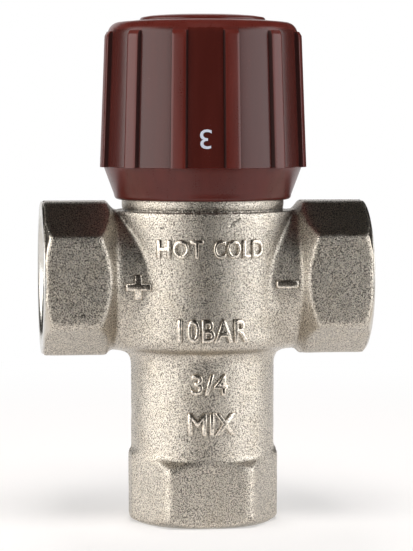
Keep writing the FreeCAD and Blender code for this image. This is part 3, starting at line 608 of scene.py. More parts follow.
def burgundy_plastic(graph, place):
    """Glossy moulded plastic with a faint grain, flow marks, a few pale specks, a deeper drum, and
    painted shade at the ribs' feet.
    """
    shades = sizes("colours")
    wheel = sizes("handwheel")
    x, y, z = graph.parts(place)
    grain = graph.noise(place, 3.4, 2.0, 0.6)
    flow = graph.streaks(place, (0.9, 0.9, 0.12), 0.5)
    specks = graph.noise(place, 2.2, 1.0, 0.4).ramp(0.70, 0.76)
    base = graph.mix(flow.ramp(0.3, 0.75), rgba(shades.burgundy, 0.92), rgba(shades.burgundy, 1.12))
    speckled = graph.mix(specks * 0.25, base, rgba(shades.burgundy, 2.1))

    # the polished drum between the ribs is deeper in colour, and painted shade darkens the corner at a
    # rib's foot still more
    drum_base, rib_top = (level / MM for level in wheel_levels())
    pitch = 2 * math.pi / wheel.rib_count
    aside = from_rib((y.angle(x) - wheel.rib_turn) / pitch) * pitch
    foot = wheel.rib_flat * 0.5 + wheel.rib_flank
    off_axis = (x * x + y * y).root()
    shell = off_axis.ramp(DRUM_INSIDE, DRUM_INSIDE + 0.2) * z.ramp(drum_base, drum_base + 0.2)
    painted_shade_rib_foot = near(aside - foot, 0.010) * shell * z.ramp(rib_top - 0.3, rib_top, 1.0, 0.0)
    polished = aside.ramp(foot, foot + 0.004) * shell
    panels = graph.mix(polished * 0.52, speckled, rgba(shades.burgundy, 0.3))
    return {
        "Base Color": graph.mix(painted_shade_rib_foot * 0.85, panels, rgba(shades.burgundy, 0.1)),
        "Roughness": grain * 0.08 + flow * 0.06 + painted_shade_rib_foot * 0.3 - polished * 0.04 + 0.22,
        "Specular IOR Level": 0.38,
        "Normal": bump(graph, grain, 0.022, 0.6),
    }


def printed_ink(graph, place):
    """Pale ink that wear has thinned in places."""
    ink = sizes("colours").dial_ink
    grain = graph.noise(place, 4.0, 2.0)
    return {
        "Base Color": graph.mix(grain.ramp(0.45, 0.75, 0.0, 0.35), rgba(ink), rgba(ink, 0.75)),
        "Roughness": grain * 0.2 + 0.4,
        "Normal": bump(graph, grain, 0.01),
    }


def metal(tone, gloss, marks=(4.0, 4.0, 0.5), depth=0.02):
    """A turned or drawn metal, whose marks are drawn out where they are squeezed least."""

    def build(graph, place):
        shade = getattr(sizes("colours"), tone)
        lines = graph.streaks(place, marks)
        cloud = graph.noise(place, 0.35, 3.0)
        return {
            "Base Color": graph.mix(cloud.ramp(0.35, 0.7, 0.0, 0.6), rgba(shade), rgba(shade, 0.78)),
            "Metallic": 1.0,
            "Roughness": lines * 0.2 + gloss,
            "Normal": bump(graph, lines, depth),
        }

    return build


def moulded(tone, gloss, depth=0.015):
    """A moulded plastic or rubber."""

    def build(graph, place):
        shade = getattr(sizes("colours"), tone)
        grain = graph.noise(place, 2.6, 3.0, 0.6)
        cloud = graph.noise(place, 0.3, 2.0)
        return {
            "Base Color": graph.mix(cloud.ramp(0.35, 0.7), rgba(shade), rgba(shade, 1.25)),
            "Roughness": grain * 0.16 + gloss,
            "Normal": bump(graph, grain, depth),
        }

    return build


# ---------------------------------------------------------------- mesh helpers


def new_piece(name, mesh, material):
    piece = bpy.data.objects.new(name, mesh)
    bpy.context.scene.collection.objects.link(piece)
    mesh.materials.clear()
    mesh.materials.append(material)
    return piece


def lathe(profile, segments):
    """A closed ring about Z from a closed run of (radius, height) points in millimetres; the
    points go round it clockwise, seen with the axis on the left."""
    mesh = bpy.data.meshes.new("lathe")
    vertices, faces = [], []
    rows = len(profile)
    for step in range(segments):
        turn = 2 * math.pi * step / segments
        for radius, height in profile:
            vertices.append((radius * math.cos(turn), radius * math.sin(turn), height))
    for step in range(segments):
        here, there = step * rows, (step + 1) % segments * rows
        for row in range(rows):
            up = (row + 1) % rows
            faces.append((here + row, there + row, there + up, here + up))
    mesh.from_pydata(vertices, [], faces)
    shell = bmesh.new()
    shell.from_mesh(mesh)
    bmesh.ops.remove_doubles(shell, verts=shell.verts, dist=1e-5)
    bmesh.ops.dissolve_degenerate(shell, edges=shell.edges, dist=1e-5)
    bmesh.ops.recalc_face_normals(shell, faces=shell.faces)
    shell.to_mesh(mesh)
    shell.free()
    return mesh


def run_of(*corners, step):
    """Points along straight runs between corners, no further apart than a step."""
    points = []
    for start, end in zip(corners, corners[1:]):
        count = max(1, math.ceil(math.dist(start, end) / step))
        points += [
            tuple(a + (b - a) * k / count for a, b in zip(start, end)) for k in range(count)
        ]
    return points + [corners[-1]]


def arc(centre, radius, start, end, count):
    """Points on an arc, by its angles in degrees."""
    turns = [math.radians(start + (end - start) * k / count) for k in range(count + 1)]
    return [(centre[0] + radius * math.cos(turn), centre[1] + radius * math.sin(turn)) for turn in turns]


# ---------------------------------------------------------------- the forging


def forging_tree(numbers):
    """The forging as a rule of distance: solids joined with soft corners, then bored."""
    graph, given = geometry_graph("Forging", numbers)
    place = graph.node("GeometryNodeInputPosition")
    x, y, z = graph.parts(place)
    ax, ay = abs(x), abs(y)
    v = z - given["Arm Height"]
    av = abs(v)
    off_axis = (x * x + y * y).root()
    off_arm = (y * y + v * v).root()

    barrel = off_axis - given["Barrel Radius"]
    barrel = barrel.soft_larger(-v - given["Barrel Drop"], SOFT["barrel_foot"])
    barrel = barrel.soft_larger(v - given["Barrel Rise"], SOFT["barrel_rim"])
    tube = (off_axis - given["Tube Radius"]).larger(v - TUBE_TOP).larger(TUBE_FOOT - z)
    stem = barrel.soft_smaller(tube, SOFT["tube"])
    arms = (off_arm - given["Arm Radius"]).larger(ax - ARM_END)
    body = stem.soft_smaller(arms, v.ramp(-10.0, 0.0, SOFT["arm_below"], SOFT["arm_above"]))
    collar = (off_axis - given["Collar Radius"]).soft_larger(z - given["Collar Top"], SOFT["collar_rim"])
    body = body.soft_smaller(collar.larger(COLLAR_FOOT - v), SOFT["collar"])

    # an inlet's hexagon: six sides, the bevel round its face, and the slope behind it
    reach = given["Arm Reach"]
    half = given["Inlet Flats"] * 0.5
    sides = (ay - half).soft_larger(ay * COS_60 + av * SIN_60 - half, SOFT["inlet_side"])
    sides = sides.soft_larger(av - half, SOFT["inlet_top"])
    bevel = (ax - reach) * SIN_60 + (off_arm - half + INLET_BEVEL) * COS_60
    back = (reach - given["Inlet Length"] - ax) * 0.773 + (off_arm - given["Arm Radius"]) * 0.634
    inlet = sides.soft_larger(bevel, SOFT["inlet_bevel"]).soft_larger(back, SOFT["inlet_back"])
    body = body.soft_smaller(inlet.larger(ax - reach + FACE_GAP), SOFT["inlet"])

    # the outlet's hexagon, with its shoulder dipping towards the parting plane
    half = given["Outlet Flats"] * 0.5
    sides = (ay - half).soft_larger(ay * COS_60 + ax * SIN_60 - half, SOFT["outlet_side"])
    sides = sides.soft_larger(ax - given["Outlet Width"] * 0.5, SOFT["outlet_trim"])
    bevel = z * -SIN_60 + (off_axis - half + OUTLET_BEVEL) * COS_60
    back = (z - given["Outlet Length"] + ay * 0.085) * 0.78 + (off_axis - half) * 0.625
    outlet = sides.soft_larger(bevel, SOFT["outlet_bevel"]).soft_larger(back, SOFT["outlet_back"])
    body = body.soft_smaller(outlet.larger(FACE_GAP - z), SOFT["outlet"])

    # the groove, the uneven skin, and the flash on the parting plane away from turned faces
    ledge = v - given["Barrel Rise"]
    across, dip = off_axis - GROOVE_RADIUS, ledge - groove_waver(graph, x, y)
    groove = (across * across + dip * dip).root() - GROOVE_WIDTH
    body = body.soft_larger(-groove, SOFT["groove"])
    swell = graph.noise(place, 0.16, 2.0) - 0.5
    wear = graph.noise(place, 0.9, 1.0) - 0.5
    rough = body + swell * given["Unevenness"] + wear * 0.10
    kept = (34.5 - ax).smaller(z - 0.7).smaller(-ledge - 0.8).ramp(0.0, 0.6)
    ridge = (ay - 0.42 + swell * 0.5).soft_larger(rough - given["Parting Flash"] * kept, SOFT["flash"])
    skin = rough.soft_smaller(ridge, SOFT["flash"])

    # the bores, with room for the turned thread linings
    hollow = (off_arm - LINING_ROOM).larger(INLET_LINING_END - ax)
    hollow = hollow.smaller((off_arm - INLET_BORE).larger(ARM_BORE_END - ax))
    hollow = hollow.smaller((off_axis - LINING_ROOM).larger(z - OUTLET_LINING_END))
    for radius, low, high in AXIAL_BORES:
        hollow = hollow.smaller((off_axis - radius).larger(v - high).larger(low - v))
    windows = (ay - WINDOW_HALF).larger(WINDOW_INNER - ax).larger(ax - WINDOW_OUTER)
    for (low, high), outwards in ((HOT_WINDOW, x), (COLD_WINDOW, -x)):
        hollow = hollow.smaller(windows.larger(low - v).larger(v - high).larger(outwards))
    solid = skin.larger(-hollow)

    cells = {
        "Resolution " + axis: (given["Cell"] / (high - low)) ** -1.0
        for axis, low, high in zip("XYZ", FIELD_LOW, FIELD_HIGH)
    }
    field = {"Density": -solid, "Background": -5.0, "Min": FIELD_LOW, "Max": FIELD_HIGH, **cells}
    volume = graph.node("GeometryNodeVolumeCube", None, field)
    skin = graph.node("GeometryNodeVolumeToMesh", None, {"Volume": volume, "Threshold": 0.0})
    end_tree(graph, skin, given["Material"])
    return graph.tree


class VALVE_OT_forging(bpy.types.Operator):
    """Draws the plated forging with its soft corners, parting flash and bores"""

    bl_idname = "valve.forging"
    bl_label = "Forging"

    def execute(self, context):
        numbers = tree_numbers("forging")
        material = finish("shot_blasted_nickel", shot_blasted_nickel)
        seed = bpy.data.meshes.new("seed")
        piece = grown("forging", seed, forging_tree(numbers), numbers, material)
        if len(piece.data.vertices) < 1000:
            raise RuntimeError("the forging has no skin")
        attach(piece, "body")
        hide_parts("valve_body")
        return {"FINISHED"}


# ---------------------------------------------------------------- threads


def thread_tree(numbers):
    """Cuts a helical thread into a plain lining whose axis is Z."""
    graph, given = geometry_graph("Pipe Thread", numbers)
    place = graph.node("GeometryNodeInputPosition")
    x, y, z = graph.parts(place)
    radius = (x * x + y * y).root()
    turn = y.angle(x) / (2 * math.pi)
    wave = abs((z / given["Pitch"] - turn).fraction() - 0.5) * 2.0
    tooth = wave.ramp(0.10, 0.90)
    inside = (radius - given["Crest Radius"]).ramp(0.02, 0.06, 1.0, 0.0)
    cut = tooth * inside * given["Depth"]
    countersink = (given["Mouth Radius"] - z).smaller(given["Mouth Radius"])
    wanted = (radius + cut).larger(countersink * inside)
    return moved_out(graph, given, (x, y, z), radius, wanted)


class VALVE_OT_threads(bpy.types.Operator):
    """Makes the turned lining of each end: face ring, countersink and pipe thread"""

    bl_idname = "valve.threads"
    bl_label = "Threaded Ends"

    def execute(self, context):
        forging, numbers = sizes("forging"), tree_numbers("thread")
        crest, run, mouth = numbers["Crest Radius"], numbers["Run"], numbers["Mouth Radius"]
        material = finish("turned_nickel", turned_nickel)
        inlet_rim = forging.inlet_flats / 2 / MM - 0.35
        outlet_rim = forging.outlet_flats / 2 / MM - 0.75
        reach, height = forging.arm_reach, forging.arm_height
        for name, rim, bore, turn, face in (
            ("hot_inlet_lining", inlet_rim, INLET_BORE, math.pi / 2, (-reach, 0.0, height)),
            ("cold_inlet_lining", inlet_rim, INLET_BORE, -math.pi / 2, (reach, 0.0, height)),
            ("outlet_lining", outlet_rim, OUTLET_BORE, 0.0, (0.0, 0.0, 0.0)),
        ):
            outside, runout = LINING_ROOM + 0.8, run + crest - bore
            profile = run_of((crest, run), (crest, mouth - crest + 0.05), step=0.13)
            profile += run_of((mouth, 0.0), (rim, 0.0), step=0.6)
            profile += [(rim + 0.22, 0.14), (rim + 0.22, 0.5), (outside, 0.9), (outside, run + 0.4)]
            profile += [(bore + 0.6, runout + 0.9), (bore, runout)]
            piece = grown(name, lathe(profile, 144), thread_tree(numbers), numbers, material)
            piece.data.transform(Matrix.Translation(face) @ Matrix.Rotation(turn, 4, "Y"))
            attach(piece, "body")
        return {"FINISHED"}


# ---------------------------------------------------------------- raised words


def letters(text, height, width, relief, weight=0.0, rounding=0.0):
    """A word's solid, drawn flat about its middle: x along, y up, z out, with its face at the relief
    and a root that reaches below 0. Weight and rounding are shares of the letters' own size."""
    curve = bpy.data.curves.new("word", "FONT")
    curve.body = text
    curve.align_x, curve.align_y = "CENTER", "CENTER"
    curve.size = 1.0
    curve.space_character = 1.1
    curve.offset = weight
    curve.resolution_u = 4
    curve.extrude = 0.01 if rounding else 0.12
    curve.bevel_depth = rounding
    curve.bevel_resolution = 2
    maker = bpy.data.objects.new("word", curve)
    bpy.context.scene.collection.objects.link(maker)
    bpy.context.view_layer.update()
    mesh = bpy.data.meshes.new_from_object(maker.evaluated_get(bpy.context.evaluated_depsgraph_get()))
    bpy.data.objects.remove(maker)
    shell = bmesh.new()
    shell.from_mesh(mesh)
    bmesh.ops.remove_doubles(shell, verts=shell.verts, dist=1e-4)
    bmesh.ops.triangulate(shell, faces=shell.faces)
    bmesh.ops.recalc_face_normals(shell, faces=shell.faces)
    corners = [vertex.co.copy() for vertex in shell.verts]
    low = Vector(min(c[k] for c in corners) for k in range(3))
    high = Vector(max(c[k] for c in corners) for k in range(3))
    span, middle, depth = high - low, (high + low) / 2, relief * 2.2
    for vertex in shell.verts:
        vertex.co.x = (vertex.co.x - middle.x) / span.x * width
        vertex.co.y = (vertex.co.y - middle.y) / span.y * height
        vertex.co.z = (vertex.co.z - high.z) / span.z * depth + relief
    shell.to_mesh(mesh)
    shell.free()
    return mesh


def lay_round(mesh, radius, level):
    """Bends a flat digit round the front of the drum, with its middle at a level."""
    for vertex in mesh.vertices:
        along, up, out = vertex.co
        turn = math.asin(along / radius)
        deep = radius + out
        vertex.co = (deep * math.sin(turn), -deep * math.cos(turn), up + level)


def lay_on_forging(mesh, ground, middle, level):
    """Presses a flat word against the front of the forging, the way its die forms it."""
    in_front, inwards = -0.1, Vector((0.0, 1.0, 0.0))
    for vertex in mesh.vertices:
        along, up, out = vertex.co
        start = Vector((along + middle, in_front, up + level))
        hit = ground.ray_cast(start, inwards)[0]
        if hit is None:
            raise RuntimeError("a word lies beside the forging")
        vertex.co = (start.x, hit.y - out, start.z)


class VALVE_OT_marks(bpy.types.Operator):
    """Raises the words and signs on the front of the forging"""

    bl_idname = "valve.marks"
    bl_label = "Raised Words"

    def execute(self, context):
        marks, axis = sizes("marks"), sizes("forging").arm_height
        material = finish("rubbed_nickel", rubbed_nickel)
        skin = bpy.data.objects["forging"].data
        ground = BVHTree.FromPolygons(
            [vertex.co for vertex in skin.vertices], [tuple(face.vertices) for face in skin.polygons]
        )
        # height in metres, then width, the middle's x and its level from the inlets' axis in millimetres
        for name, text, height, width, middle, level in (
            ("word_hot", "HOT", marks.port_words, 9.6, -6.75, 6.9),
            ("word_cold", "COLD", marks.port_words, 11.1, 5.65, 6.9),
            ("word_rating", "10BAR", marks.rating, 15.4, 0.3, -10.2),
            ("word_size", "3/4", marks.bore_size, 8.0, -0.2, -21.9),
            ("word_mix", "MIX", marks.outlet_word, 10.5, 0.4, -30.3),
            ("sign_plus", "+", marks.signs, 5.4, -15.2, -1.2),
            ("sign_minus", "-", marks.signs * 0.33, 5.0, 16.5, -0.8),
        ):
            mesh = letters(text, height, width * MM, marks.relief, marks.weight, LETTER_ROUNDING)
            lay_on_forging(mesh, ground, middle * MM, axis + level * MM)
            mesh.name = name
            mesh.shade_smooth()
            piece = new_piece(name, mesh, material)
            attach(piece, "body")
        return {"FINISHED"}


# ---------------------------------------------------------------- handwheel


def rib_tree(numbers):
    """Raises grip ribs on a plain drum, with steep sides, rounded edges and level tops."""
    graph, given = geometry_graph("Grip Ribs", numbers)
    place = graph.node("GeometryNodeInputPosition")
    x, y, z = graph.parts(place)
    radius = (x * x + y * y).root()
    aside = from_rib(y.angle(x) / (2 * math.pi) * given["Ribs"]) / given["Ribs"] * (2 * math.pi)
    down = ((given["Rib Flat"] * 0.5 + given["Rib Flank"] - aside) / given["Rib Flank"]).clamped()
    flank = (down * 3.2).smaller(1.0) * 0.8 + down * 0.2
    up = (z - given["Drum Base"]) / (given["Rib Top"] - given["Drum Base"])
    drum = given["Drum Radius"] - (given["Drum Radius"] - given["Shoulder Radius"]) * up
    crown = drum + given["Rib Height"] - (z - given["Rib Top"] + 0.9).larger(0.0) * 0.55
    below = (z - given["Rib Top"]).less_than(0.005)
    above = (z - given["Drum Base"]).more_than(-0.005)
    outer = (radius - drum).more_than(-0.8)
    rise = (crown - radius).larger(0.0) * flank * below * above * outer
    return moved_out(graph, given, (x, y, z), radius, radius + rise)


def wheel_levels():
    """Heights of the drum's foot and of the ribs' upper ends."""
    wheel = sizes("handwheel")
    return WHEEL_LOW.z + wheel.skirt_height, WHEEL_HIGH.z - wheel.rib_drop


class VALVE_OT_handwheel(bpy.types.Operator):
    """Makes the ribbed drum with its tapered skirt, recess and hub"""

    bl_idname = "valve.handwheel"
    bl_label = "Handwheel"

    def execute(self, context):
        wheel = sizes("handwheel")
        base, rib_top = (level / MM for level in wheel_levels())
        drum, shoulder = wheel.drum_radius / MM, wheel.shoulder_radius / MM
        numbers = {
            "Ribs": wheel.rib_count,
            "Rib Flat": wheel.rib_flat,
            "Rib Flank": wheel.rib_flank,
            "Rib Height": wheel.rib_height / MM,
            "Rib Top": rib_top,
            "Drum Base": base,
            "Drum Radius": drum,
            "Shoulder Radius": shoulder,
        }
        top, foot = WHEEL_HIGH.z / MM - WHEEL_TOP_DROP, WHEEL_LOW.z / MM
        skirt, skirt_bore = wheel.skirt_radius / MM, 17.8
        crest, shoulder_rise, shoulder_width = top - 3.4, 3.0, 2.6
        slope = (drum - shoulder) / (rib_top - base)
        crest_radius = drum - slope * (crest - base)

        def shoulder_point(level):
            """A point of the quarter ellipse between the drum's side and its top."""
            up = min(1.0, max(0.0, (level - crest) / shoulder_rise))
            return crest_radius - shoulder_width * (1.0 - math.sqrt(1.0 - up * up)), level

        # up the outside: the skirt, the drum's foot, its side, then the shoulder
        outline = run_of((skirt_bore, foot + 0.3), (skirt_bore + 0.2, foot), step=0.5)
        outline += [(skirt - 0.9, foot)] + arc((skirt - 0.9, foot + 0.9), 0.9, -80, -10, 5)
        outline += run_of((skirt + 0.05, foot + 1.1), (drum - 0.35, base - 0.25), step=0.9)
        outline += [(drum - 0.3, base - 0.05), (drum - 0.12, base), (drum, base + 0.06)]
        outline += run_of((drum - 0.3 * slope, base + 0.3), (crest_radius, crest), step=0.9)[:-1]
        steps = math.ceil((rib_top - crest) / 0.2)
        levels = [crest + (rib_top - crest) * k / steps for k in range(steps + 1)] + [rib_top + 0.02]
        levels += [crest + shoulder_rise * up for up in (0.45, 0.55, 0.65, 0.75, 0.84, 0.92, 0.97, 1.0)]
        outline += [shoulder_point(level) for level in levels]

        # in over the top: the rim round the cap, the cap's recess, the hub, and the hollow below the web
        recess, floor, web, hub_foot, hub = 12.7, top - 5.9, top - 8.9, top - 20.9, 7.5
        outline += [(15.8, top - 0.22), (14.6, top - 0.06), (13.95, top), (13.75, top - 0.03)]
        outline += [(13.7, top - 0.7), (recess + 0.02, top - 0.75), (recess, top - 0.9), (recess, floor)]
        outline += [(3.3, floor), (3.2, hub_foot), (hub, hub_foot), (hub, web), (18.7, web)]
        outline += run_of((18.7, web - 0.2), (DRUM_BORE, base + 1.0), step=2.0)
        outline += [(skirt_bore, foot + 2.0)]
        mesh = lathe(outline, 720)
        material = finish("burgundy_plastic", burgundy_plastic)
        piece = grown("handwheel_shell", mesh, rib_tree(numbers), numbers, material)
        piece.data.transform(Matrix.Rotation(wheel.rib_turn, 4, "Z"))
        piece.data.set_sharp_from_angle(angle=math.radians(38))
        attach(piece, "handwheel")
        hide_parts("handwheel")
        return {"FINISHED"}


class VALVE_OT_dial(bpy.types.Operator):
    """Prints the dial's digits round the handwheel's foot"""

    bl_idname = "valve.dial"
    bl_label = "Dial Digits"

    def execute(self, context):
        wheel = sizes("handwheel")
        material = finish("printed_ink", printed_ink)
        base, rib_top = wheel_levels()
        share_up = wheel.digit_rise / (rib_top - base)
        radius = wheel.drum_radius - (wheel.drum_radius - wheel.shoulder_radius) * share_up
        for text, turn in (("1", 90), ("2", 0), ("3", -90), ("4", 180)):
            name = "digit_" + text
            mesh = letters(text, wheel.digit_height, DIGIT_WIDTHS[text] * MM, INK_RELIEF * MM)
            mesh.transform(Matrix.Rotation(math.pi, 4, "Z"))
            lay_round(mesh, radius, base + wheel.digit_rise)
            mesh.transform(Matrix.Rotation(math.radians(turn + 90) - wheel.digit_turn, 4, "Z"))
            mesh.name = name
            piece = new_piece(name, mesh, material)
            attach(piece, "handwheel")
        return {"FINISHED"}


class VALVE_OT_cap(bpy.types.Operator):
    """Makes the round cover cap with its softened rim"""

    bl_idname = "valve.cap"
    bl_label = "Cover Cap"

    def execute(self, context):
        top, rim, plug, plug_wall = CAP_HIGH.z / MM, 13.5, 12.6, 1.1
        base, plug_foot = top - 2.0, top - 5.2
        crown = ((0.0, 0.0), (6.0, 0.04), (9.5, 0.14), (11.6, 0.30), (12.3, 0.44))
        profile = [(radius, top - CAP_TOP_DROP - fall) for radius, fall in crown]
        profile += arc((rim - 0.6, top - 1.55), 0.6, 75, 5, 6)
        profile += [(rim, base + 0.2), (rim - 0.15, base), (plug, base), (plug, plug_foot)]
        profile += [(plug - plug_wall, plug_foot), (plug - plug_wall, base), (0.0, base)]
        mesh = lathe(profile, 192)
        mesh.transform(Matrix.Scale(MM, 4))
        mesh.shade_smooth()
        piece = new_piece("cap_disc", mesh, finish("burgundy_plastic", burgundy_plastic))
        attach(piece, "handwheel")
        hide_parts("cover_cap")
        return {"FINISHED"}


# ---------------------------------------------------------------- the pieces inside


# the return spring is drawn this much shorter, in millimetres, for the shuttle's own stroke, and
# flattens by this much as the handwheel turns to a limit
RETURN_SPRING_SHORT, RETURN_SPRING_TRAVEL = 0.63, 0.98

# each finish, and the pieces inside that wear it
INNER_FINISHES = {
    "turned_brass": (metal("brass", 0.22), ("bonnet", "carrier_nut", "thrust_cup", "wax_element")),
    "stem_nickel": (metal("turned_nickel", 0.18), ("adjusting_spindle",)),
    "spring_steel": (
        metal("steel", 0.16, (2.0, 2.0, 6.0)),
        (
            "return_spring", "overtravel_spring", "spindle_clip", "carrier_snap_ring", "element_clip",
            "spring_retainer", "element_pin", "handwheel_screw", "handwheel_washer",
        ),
    ),
    "seal_rubber": (
        moulded("rubber", 0.42),
        ("bonnet_seal", "spindle_seal_lower", "spindle_seal_upper", "shuttle_seal"),
    ),
    "white_washer": (moulded("washer", 0.38), ("spindle_washer",)),
    "shuttle_plastic": (moulded("shuttle", 0.34), ("shuttle",)),
}


class VALVE_OT_inner_finishes(bpy.types.Operator):
    """Gives each piece inside the valve its metal, rubber or plastic"""

    bl_idname = "valve.inner_finishes"
    bl_label = "Inner Finishes"

    def execute(self, context):
        for name, (build, nodes) in INNER_FINISHES.items():
            material = finish(name, build)
            for node in nodes:
                piece = frame["nodes"][node]
                if not piece.material_slots:
                    piece.data.materials.append(material)
                for place in piece.material_slots:
                    place.material = material

        steel = bpy.data.materials["spring_steel"]
        low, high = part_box("overtravel_spring")
        coil = self.coil("overtravel_coil", "overtravel_spring", 1.0, steel)
        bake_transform(coil)

        low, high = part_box("return_spring")
        span = high[2] - low[2]
        coil = self.coil("return_coil", "return_spring", 1.0 - RETURN_SPRING_SHORT * MM / span, steel)
        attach(coil, "body")
        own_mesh(coil)
        return {"FINISHED"}

    def coil(self, name, node, share, material):
        """A spring's own piece, shortened to a share towards its lower end."""
        source = frame["nodes"][node]
        mesh = source.data.copy()
        mesh.transform(source.matrix_world)
        wire = bmesh.new()
        wire.from_mesh(mesh)
        bmesh.ops.remove_doubles(wire, verts=wire.verts, dist=1e-6)
        wire.to_mesh(mesh)
        wire.free()
        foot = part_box(node)[0][2]
        for vertex in mesh.vertices:
            vertex.co.z = foot + (vertex.co.z - foot) * share
        mesh.materials.clear()
        piece = new_piece(name, mesh, material)
        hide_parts(node)
        return piece


# ---------------------------------------------------------------- the stage


VALVE_MIDDLE = (0.0, 0.0, 0.055)
CAMERA_TARGET = (0.00085, 0.0, 0.0529)
SIDE_LAMP_DISTANCE = 0.62
WORLD_LIGHT = 0.07
FLOOR_COLOUR = (0.70, 0.683, 0.675, 1.0)
GLOW_COLOUR, GLOW = (0.985, 0.995, 1.0, 1.0), 0.345
# how far from the valve the floor starts to turn white, and where it is white, in millimetres
FLOOR_FADE = (90.0, 330.0)
WHITE = (1.0, 1.0, 1.0, 1.0)

# the black cloth, in metres: the place along y and the half width of each row on the floor, the arch that
# rises from the last row, and the turns from the front, in degrees, between which the side cloths hang
CLOTH_COLOUR = (0.09, 0.085, 0.08, 1.0)
CLOTH_FOOT = 0.002
CLOTH_ROWS = ((-0.1, 0.06), (-0.6, 0.34), (-1.2, 0.66))
ARCH_RADIUS, ARCH_SPREAD, ARCH_MIDDLE = 1.2, 0.7, 0.03
SIDE_CLOTHS, SIDE_CLOTH_DISTANCE, SIDE_CLOTH_HEIGHT = ((104, 164), (-152, -112)), 1.0, 0.9


def aimed(name, data, place, target):
    """Puts a lamp or the camera at a place, facing a point."""
    thing = bpy.data.objects.new(name, data)
    bpy.context.scene.collection.objects.link(thing)
    thing.location = place
    thing.rotation_euler = (Vector(target) - Vector(place)).to_track_quat("-Z", "Y").to_euler()
    return thing


def around(azimuth, elevation, distance, target):
    """A place at a distance from a point, by its turn from the front and its rise in degrees."""
    a, e = math.radians(azimuth), math.radians(elevation)
    away = Vector((math.sin(a) * math.cos(e), -math.cos(a) * math.cos(e), math.sin(e)))
    return Vector(target) + away * distance


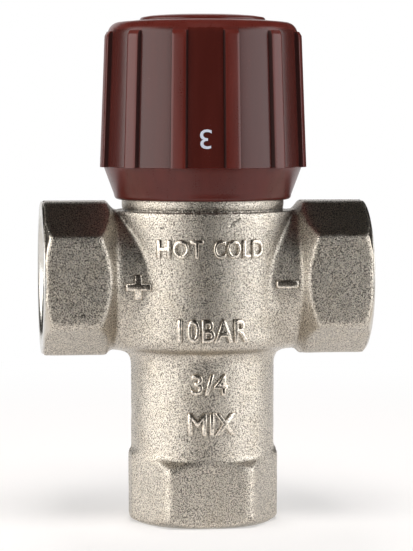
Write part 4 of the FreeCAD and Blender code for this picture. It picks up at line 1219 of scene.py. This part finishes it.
class VALVE_OT_stage(bpy.types.Operator):
    """Sets the floor, the soft lamps, the world and the camera"""

    bl_idname = "valve.stage"
    bl_label = "Stage"

    def execute(self, context):
        stage = sizes("stage")
        self.floor()
        self.world()
        self.black_cloth()
        left = around(-77, 10, SIDE_LAMP_DISTANCE, VALVE_MIDDLE)
        right = around(71, 10, SIDE_LAMP_DISTANCE, VALVE_MIDDLE)
        for name, place, width, height, watts, tint, in_gloss in (
            ("key_lamp", left, 0.86, 0.70, stage.key_power, (1.0, 0.985, 0.96), True),
            ("fill_lamp", right, 0.80, 0.70, stage.fill_power, (0.97, 0.985, 1.0), True),
            ("top_lamp", (0.0, -0.28, 0.74), 0.36, 0.36, stage.top_power, (1.0, 0.97, 0.95), False),
            ("back_lamp", (0.0, 0.42, 0.62), 0.30, 0.30, stage.back_power, (1.0, 0.97, 0.96), False),
        ):
            lamp = bpy.data.lights.new(name, "AREA")
            lamp.shape = "RECTANGLE"
            lamp.size, lamp.size_y = width, height
            lamp.energy, lamp.color = watts, tint
            aimed(name, lamp, place, VALVE_MIDDLE).visible_glossy = in_gloss

        camera = bpy.data.cameras.new("camera")
        camera.lens = stage.lens
        camera.clip_start = 0.01
        turn, rise = math.degrees(stage.azimuth), math.degrees(stage.elevation)
        place = around(turn, rise, stage.distance, CAMERA_TARGET)
        context.scene.camera = aimed("camera", camera, place, CAMERA_TARGET)
        context.scene.view_settings.view_transform = "Standard"
        return {"FINISHED"}

    def floor(self):
        """A wide floor that looks white and keeps the valve's shadow."""
        mesh = bpy.data.meshes.new("floor")
        mesh.from_pydata([(-3, -3, 0), (3, -3, 0), (3, 3, 0), (-3, 3, 0)], [], [(0, 1, 2, 3)])
        made = bpy.data.materials.new("floor_white")
        graph = emptied(made)
        x, y, _ = graph.parts(object_place(graph))
        away = (x * x + y * y).root().ramp(*FLOOR_FADE)
        matt = graph.node("ShaderNodeBsdfDiffuse", None, {"Color": FLOOR_COLOUR})
        glow = graph.node("ShaderNodeEmission", None, {"Color": GLOW_COLOUR, "Strength": GLOW})
        white = graph.node("ShaderNodeEmission", None, {"Color": WHITE, "Strength": 1.0})
        both = graph.node("ShaderNodeAddShader", None, {0: matt, 1: glow})
        fading = graph.node("ShaderNodeMixShader", None, {0: away, 1: both, 2: white})
        mixed = graph.node("ShaderNodeMixShader", None, {0: seen_or_mirrored(graph), 1: matt, 2: fading})
        graph.node("ShaderNodeOutputMaterial", None, {"Surface": mixed}, "all")
        ground = new_piece("floor", mesh, made)

    def world(self):
        """White where it is seen, dim where it lights."""
        world = bpy.data.worlds.new("studio")
        graph = emptied(world)
        light = graph.node("ShaderNodeBackground", None, {"Color": WHITE, "Strength": WORLD_LIGHT})
        white = graph.node("ShaderNodeBackground", None, {"Color": WHITE, "Strength": 1.0})
        mixed = graph.node("ShaderNodeMixShader", None, {0: seen_or_mirrored(graph), 1: light, 2: white})
        graph.node("ShaderNodeOutputWorld", None, {"Surface": mixed}, "all")
        bpy.context.scene.world = world

    def black_cloth(self):
        """Black cloth behind the camera and over the stage, and two more behind the valve at its sides;
        only the gloss on the valve sees them."""
        made = bpy.data.materials.new("black_cloth")
        graph = emptied(made)
        matt = graph.node("ShaderNodeBsdfDiffuse", None, {"Color": CLOTH_COLOUR})
        graph.node("ShaderNodeOutputMaterial", None, {"Surface": matt}, "all")

        shape = bmesh.new()
        middles = [(y, CLOTH_FOOT, half) for y, half in CLOTH_ROWS]
        for rise in range(10, 151, 10):
            turn = math.radians(rise)
            half = CLOTH_ROWS[-1][1] + ARCH_SPREAD * min(1.0, rise / 60)
            middles.append((-ARCH_RADIUS * math.cos(turn), ARCH_RADIUS * math.sin(turn), half))
        across = [k / 3 for k in range(-3, 4)]
        self.cover(shape, [[(ARCH_MIDDLE + half * k, y, z) for k in across] for y, z, half in middles])
        for first, last in SIDE_CLOTHS:
            turns = range(first, last + 1, 10)
            feet = [around(turn, 0, SIDE_CLOTH_DISTANCE, (0, 0, 0)).xy for turn in turns]
            rows = [[(*foot, level) for foot in feet] for level in (CLOTH_FOOT, SIDE_CLOTH_HEIGHT)]
            self.cover(shape, rows)
        mesh = bpy.data.meshes.new("black_cloth")
        shape.to_mesh(mesh)
        shape.free()
        cloth = new_piece("black_cloth", mesh, made)
        cloth.visible_camera = False
        cloth.visible_diffuse = False
        cloth.visible_shadow = False
        cloth.visible_transmission = False

    def cover(self, shape, rows):
        """Adds the faces between rows of points, which all have as many."""
        grid = [[shape.verts.new(point) for point in row] for row in rows]
        for low, high in zip(grid, grid[1:]):
            for k in range(len(low) - 1):
                shape.faces.new((low[k], low[k + 1], high[k + 1], high[k]))


# ---------------------------------------------------------------- panel and registering


OPERATORS = (
    VALVE_OT_forging,
    VALVE_OT_threads,
    VALVE_OT_marks,
    VALVE_OT_handwheel,
    VALVE_OT_dial,
    VALVE_OT_cap,
    VALVE_OT_inner_finishes,
    VALVE_OT_stage,
)


class VALVE_PT_builder(bpy.types.Panel):
    """Lists the valve's pieces and their sizes"""

    bl_label = "Mixing Valve"
    bl_idname = "VALVE_PT_builder"
    bl_space_type = "VIEW_3D"
    bl_region_type = "UI"
    bl_category = "Mixing Valve"

    def draw(self, context):
        for operator in OPERATORS:
            self.layout.operator(operator.bl_idname)
        for group, kind in SIZE_GROUPS.items():
            box = self.layout.box()
            box.label(text=group.capitalize())
            for name in kind.__annotations__:
                box.prop(getattr(context.scene, "valve_" + group), name)


CLASSES = (*SIZE_GROUPS.values(), *OPERATORS, VALVE_PT_builder)


def register():
    for kind in CLASSES:
        bpy.utils.register_class(kind)
    for group, kind in SIZE_GROUPS.items():
        setattr(bpy.types.Scene, "valve_" + group, PointerProperty(type=kind))


def unregister():
    for group in SIZE_GROUPS:
        delattr(bpy.types.Scene, "valve_" + group)
    for kind in reversed(CLASSES):
        bpy.utils.unregister_class(kind)


def main():
    register()
    for operator in OPERATORS:
        family, name = operator.bl_idname.split(".")
        getattr(getattr(bpy.ops, family), name)()


if __name__ == "__main__":
    main()
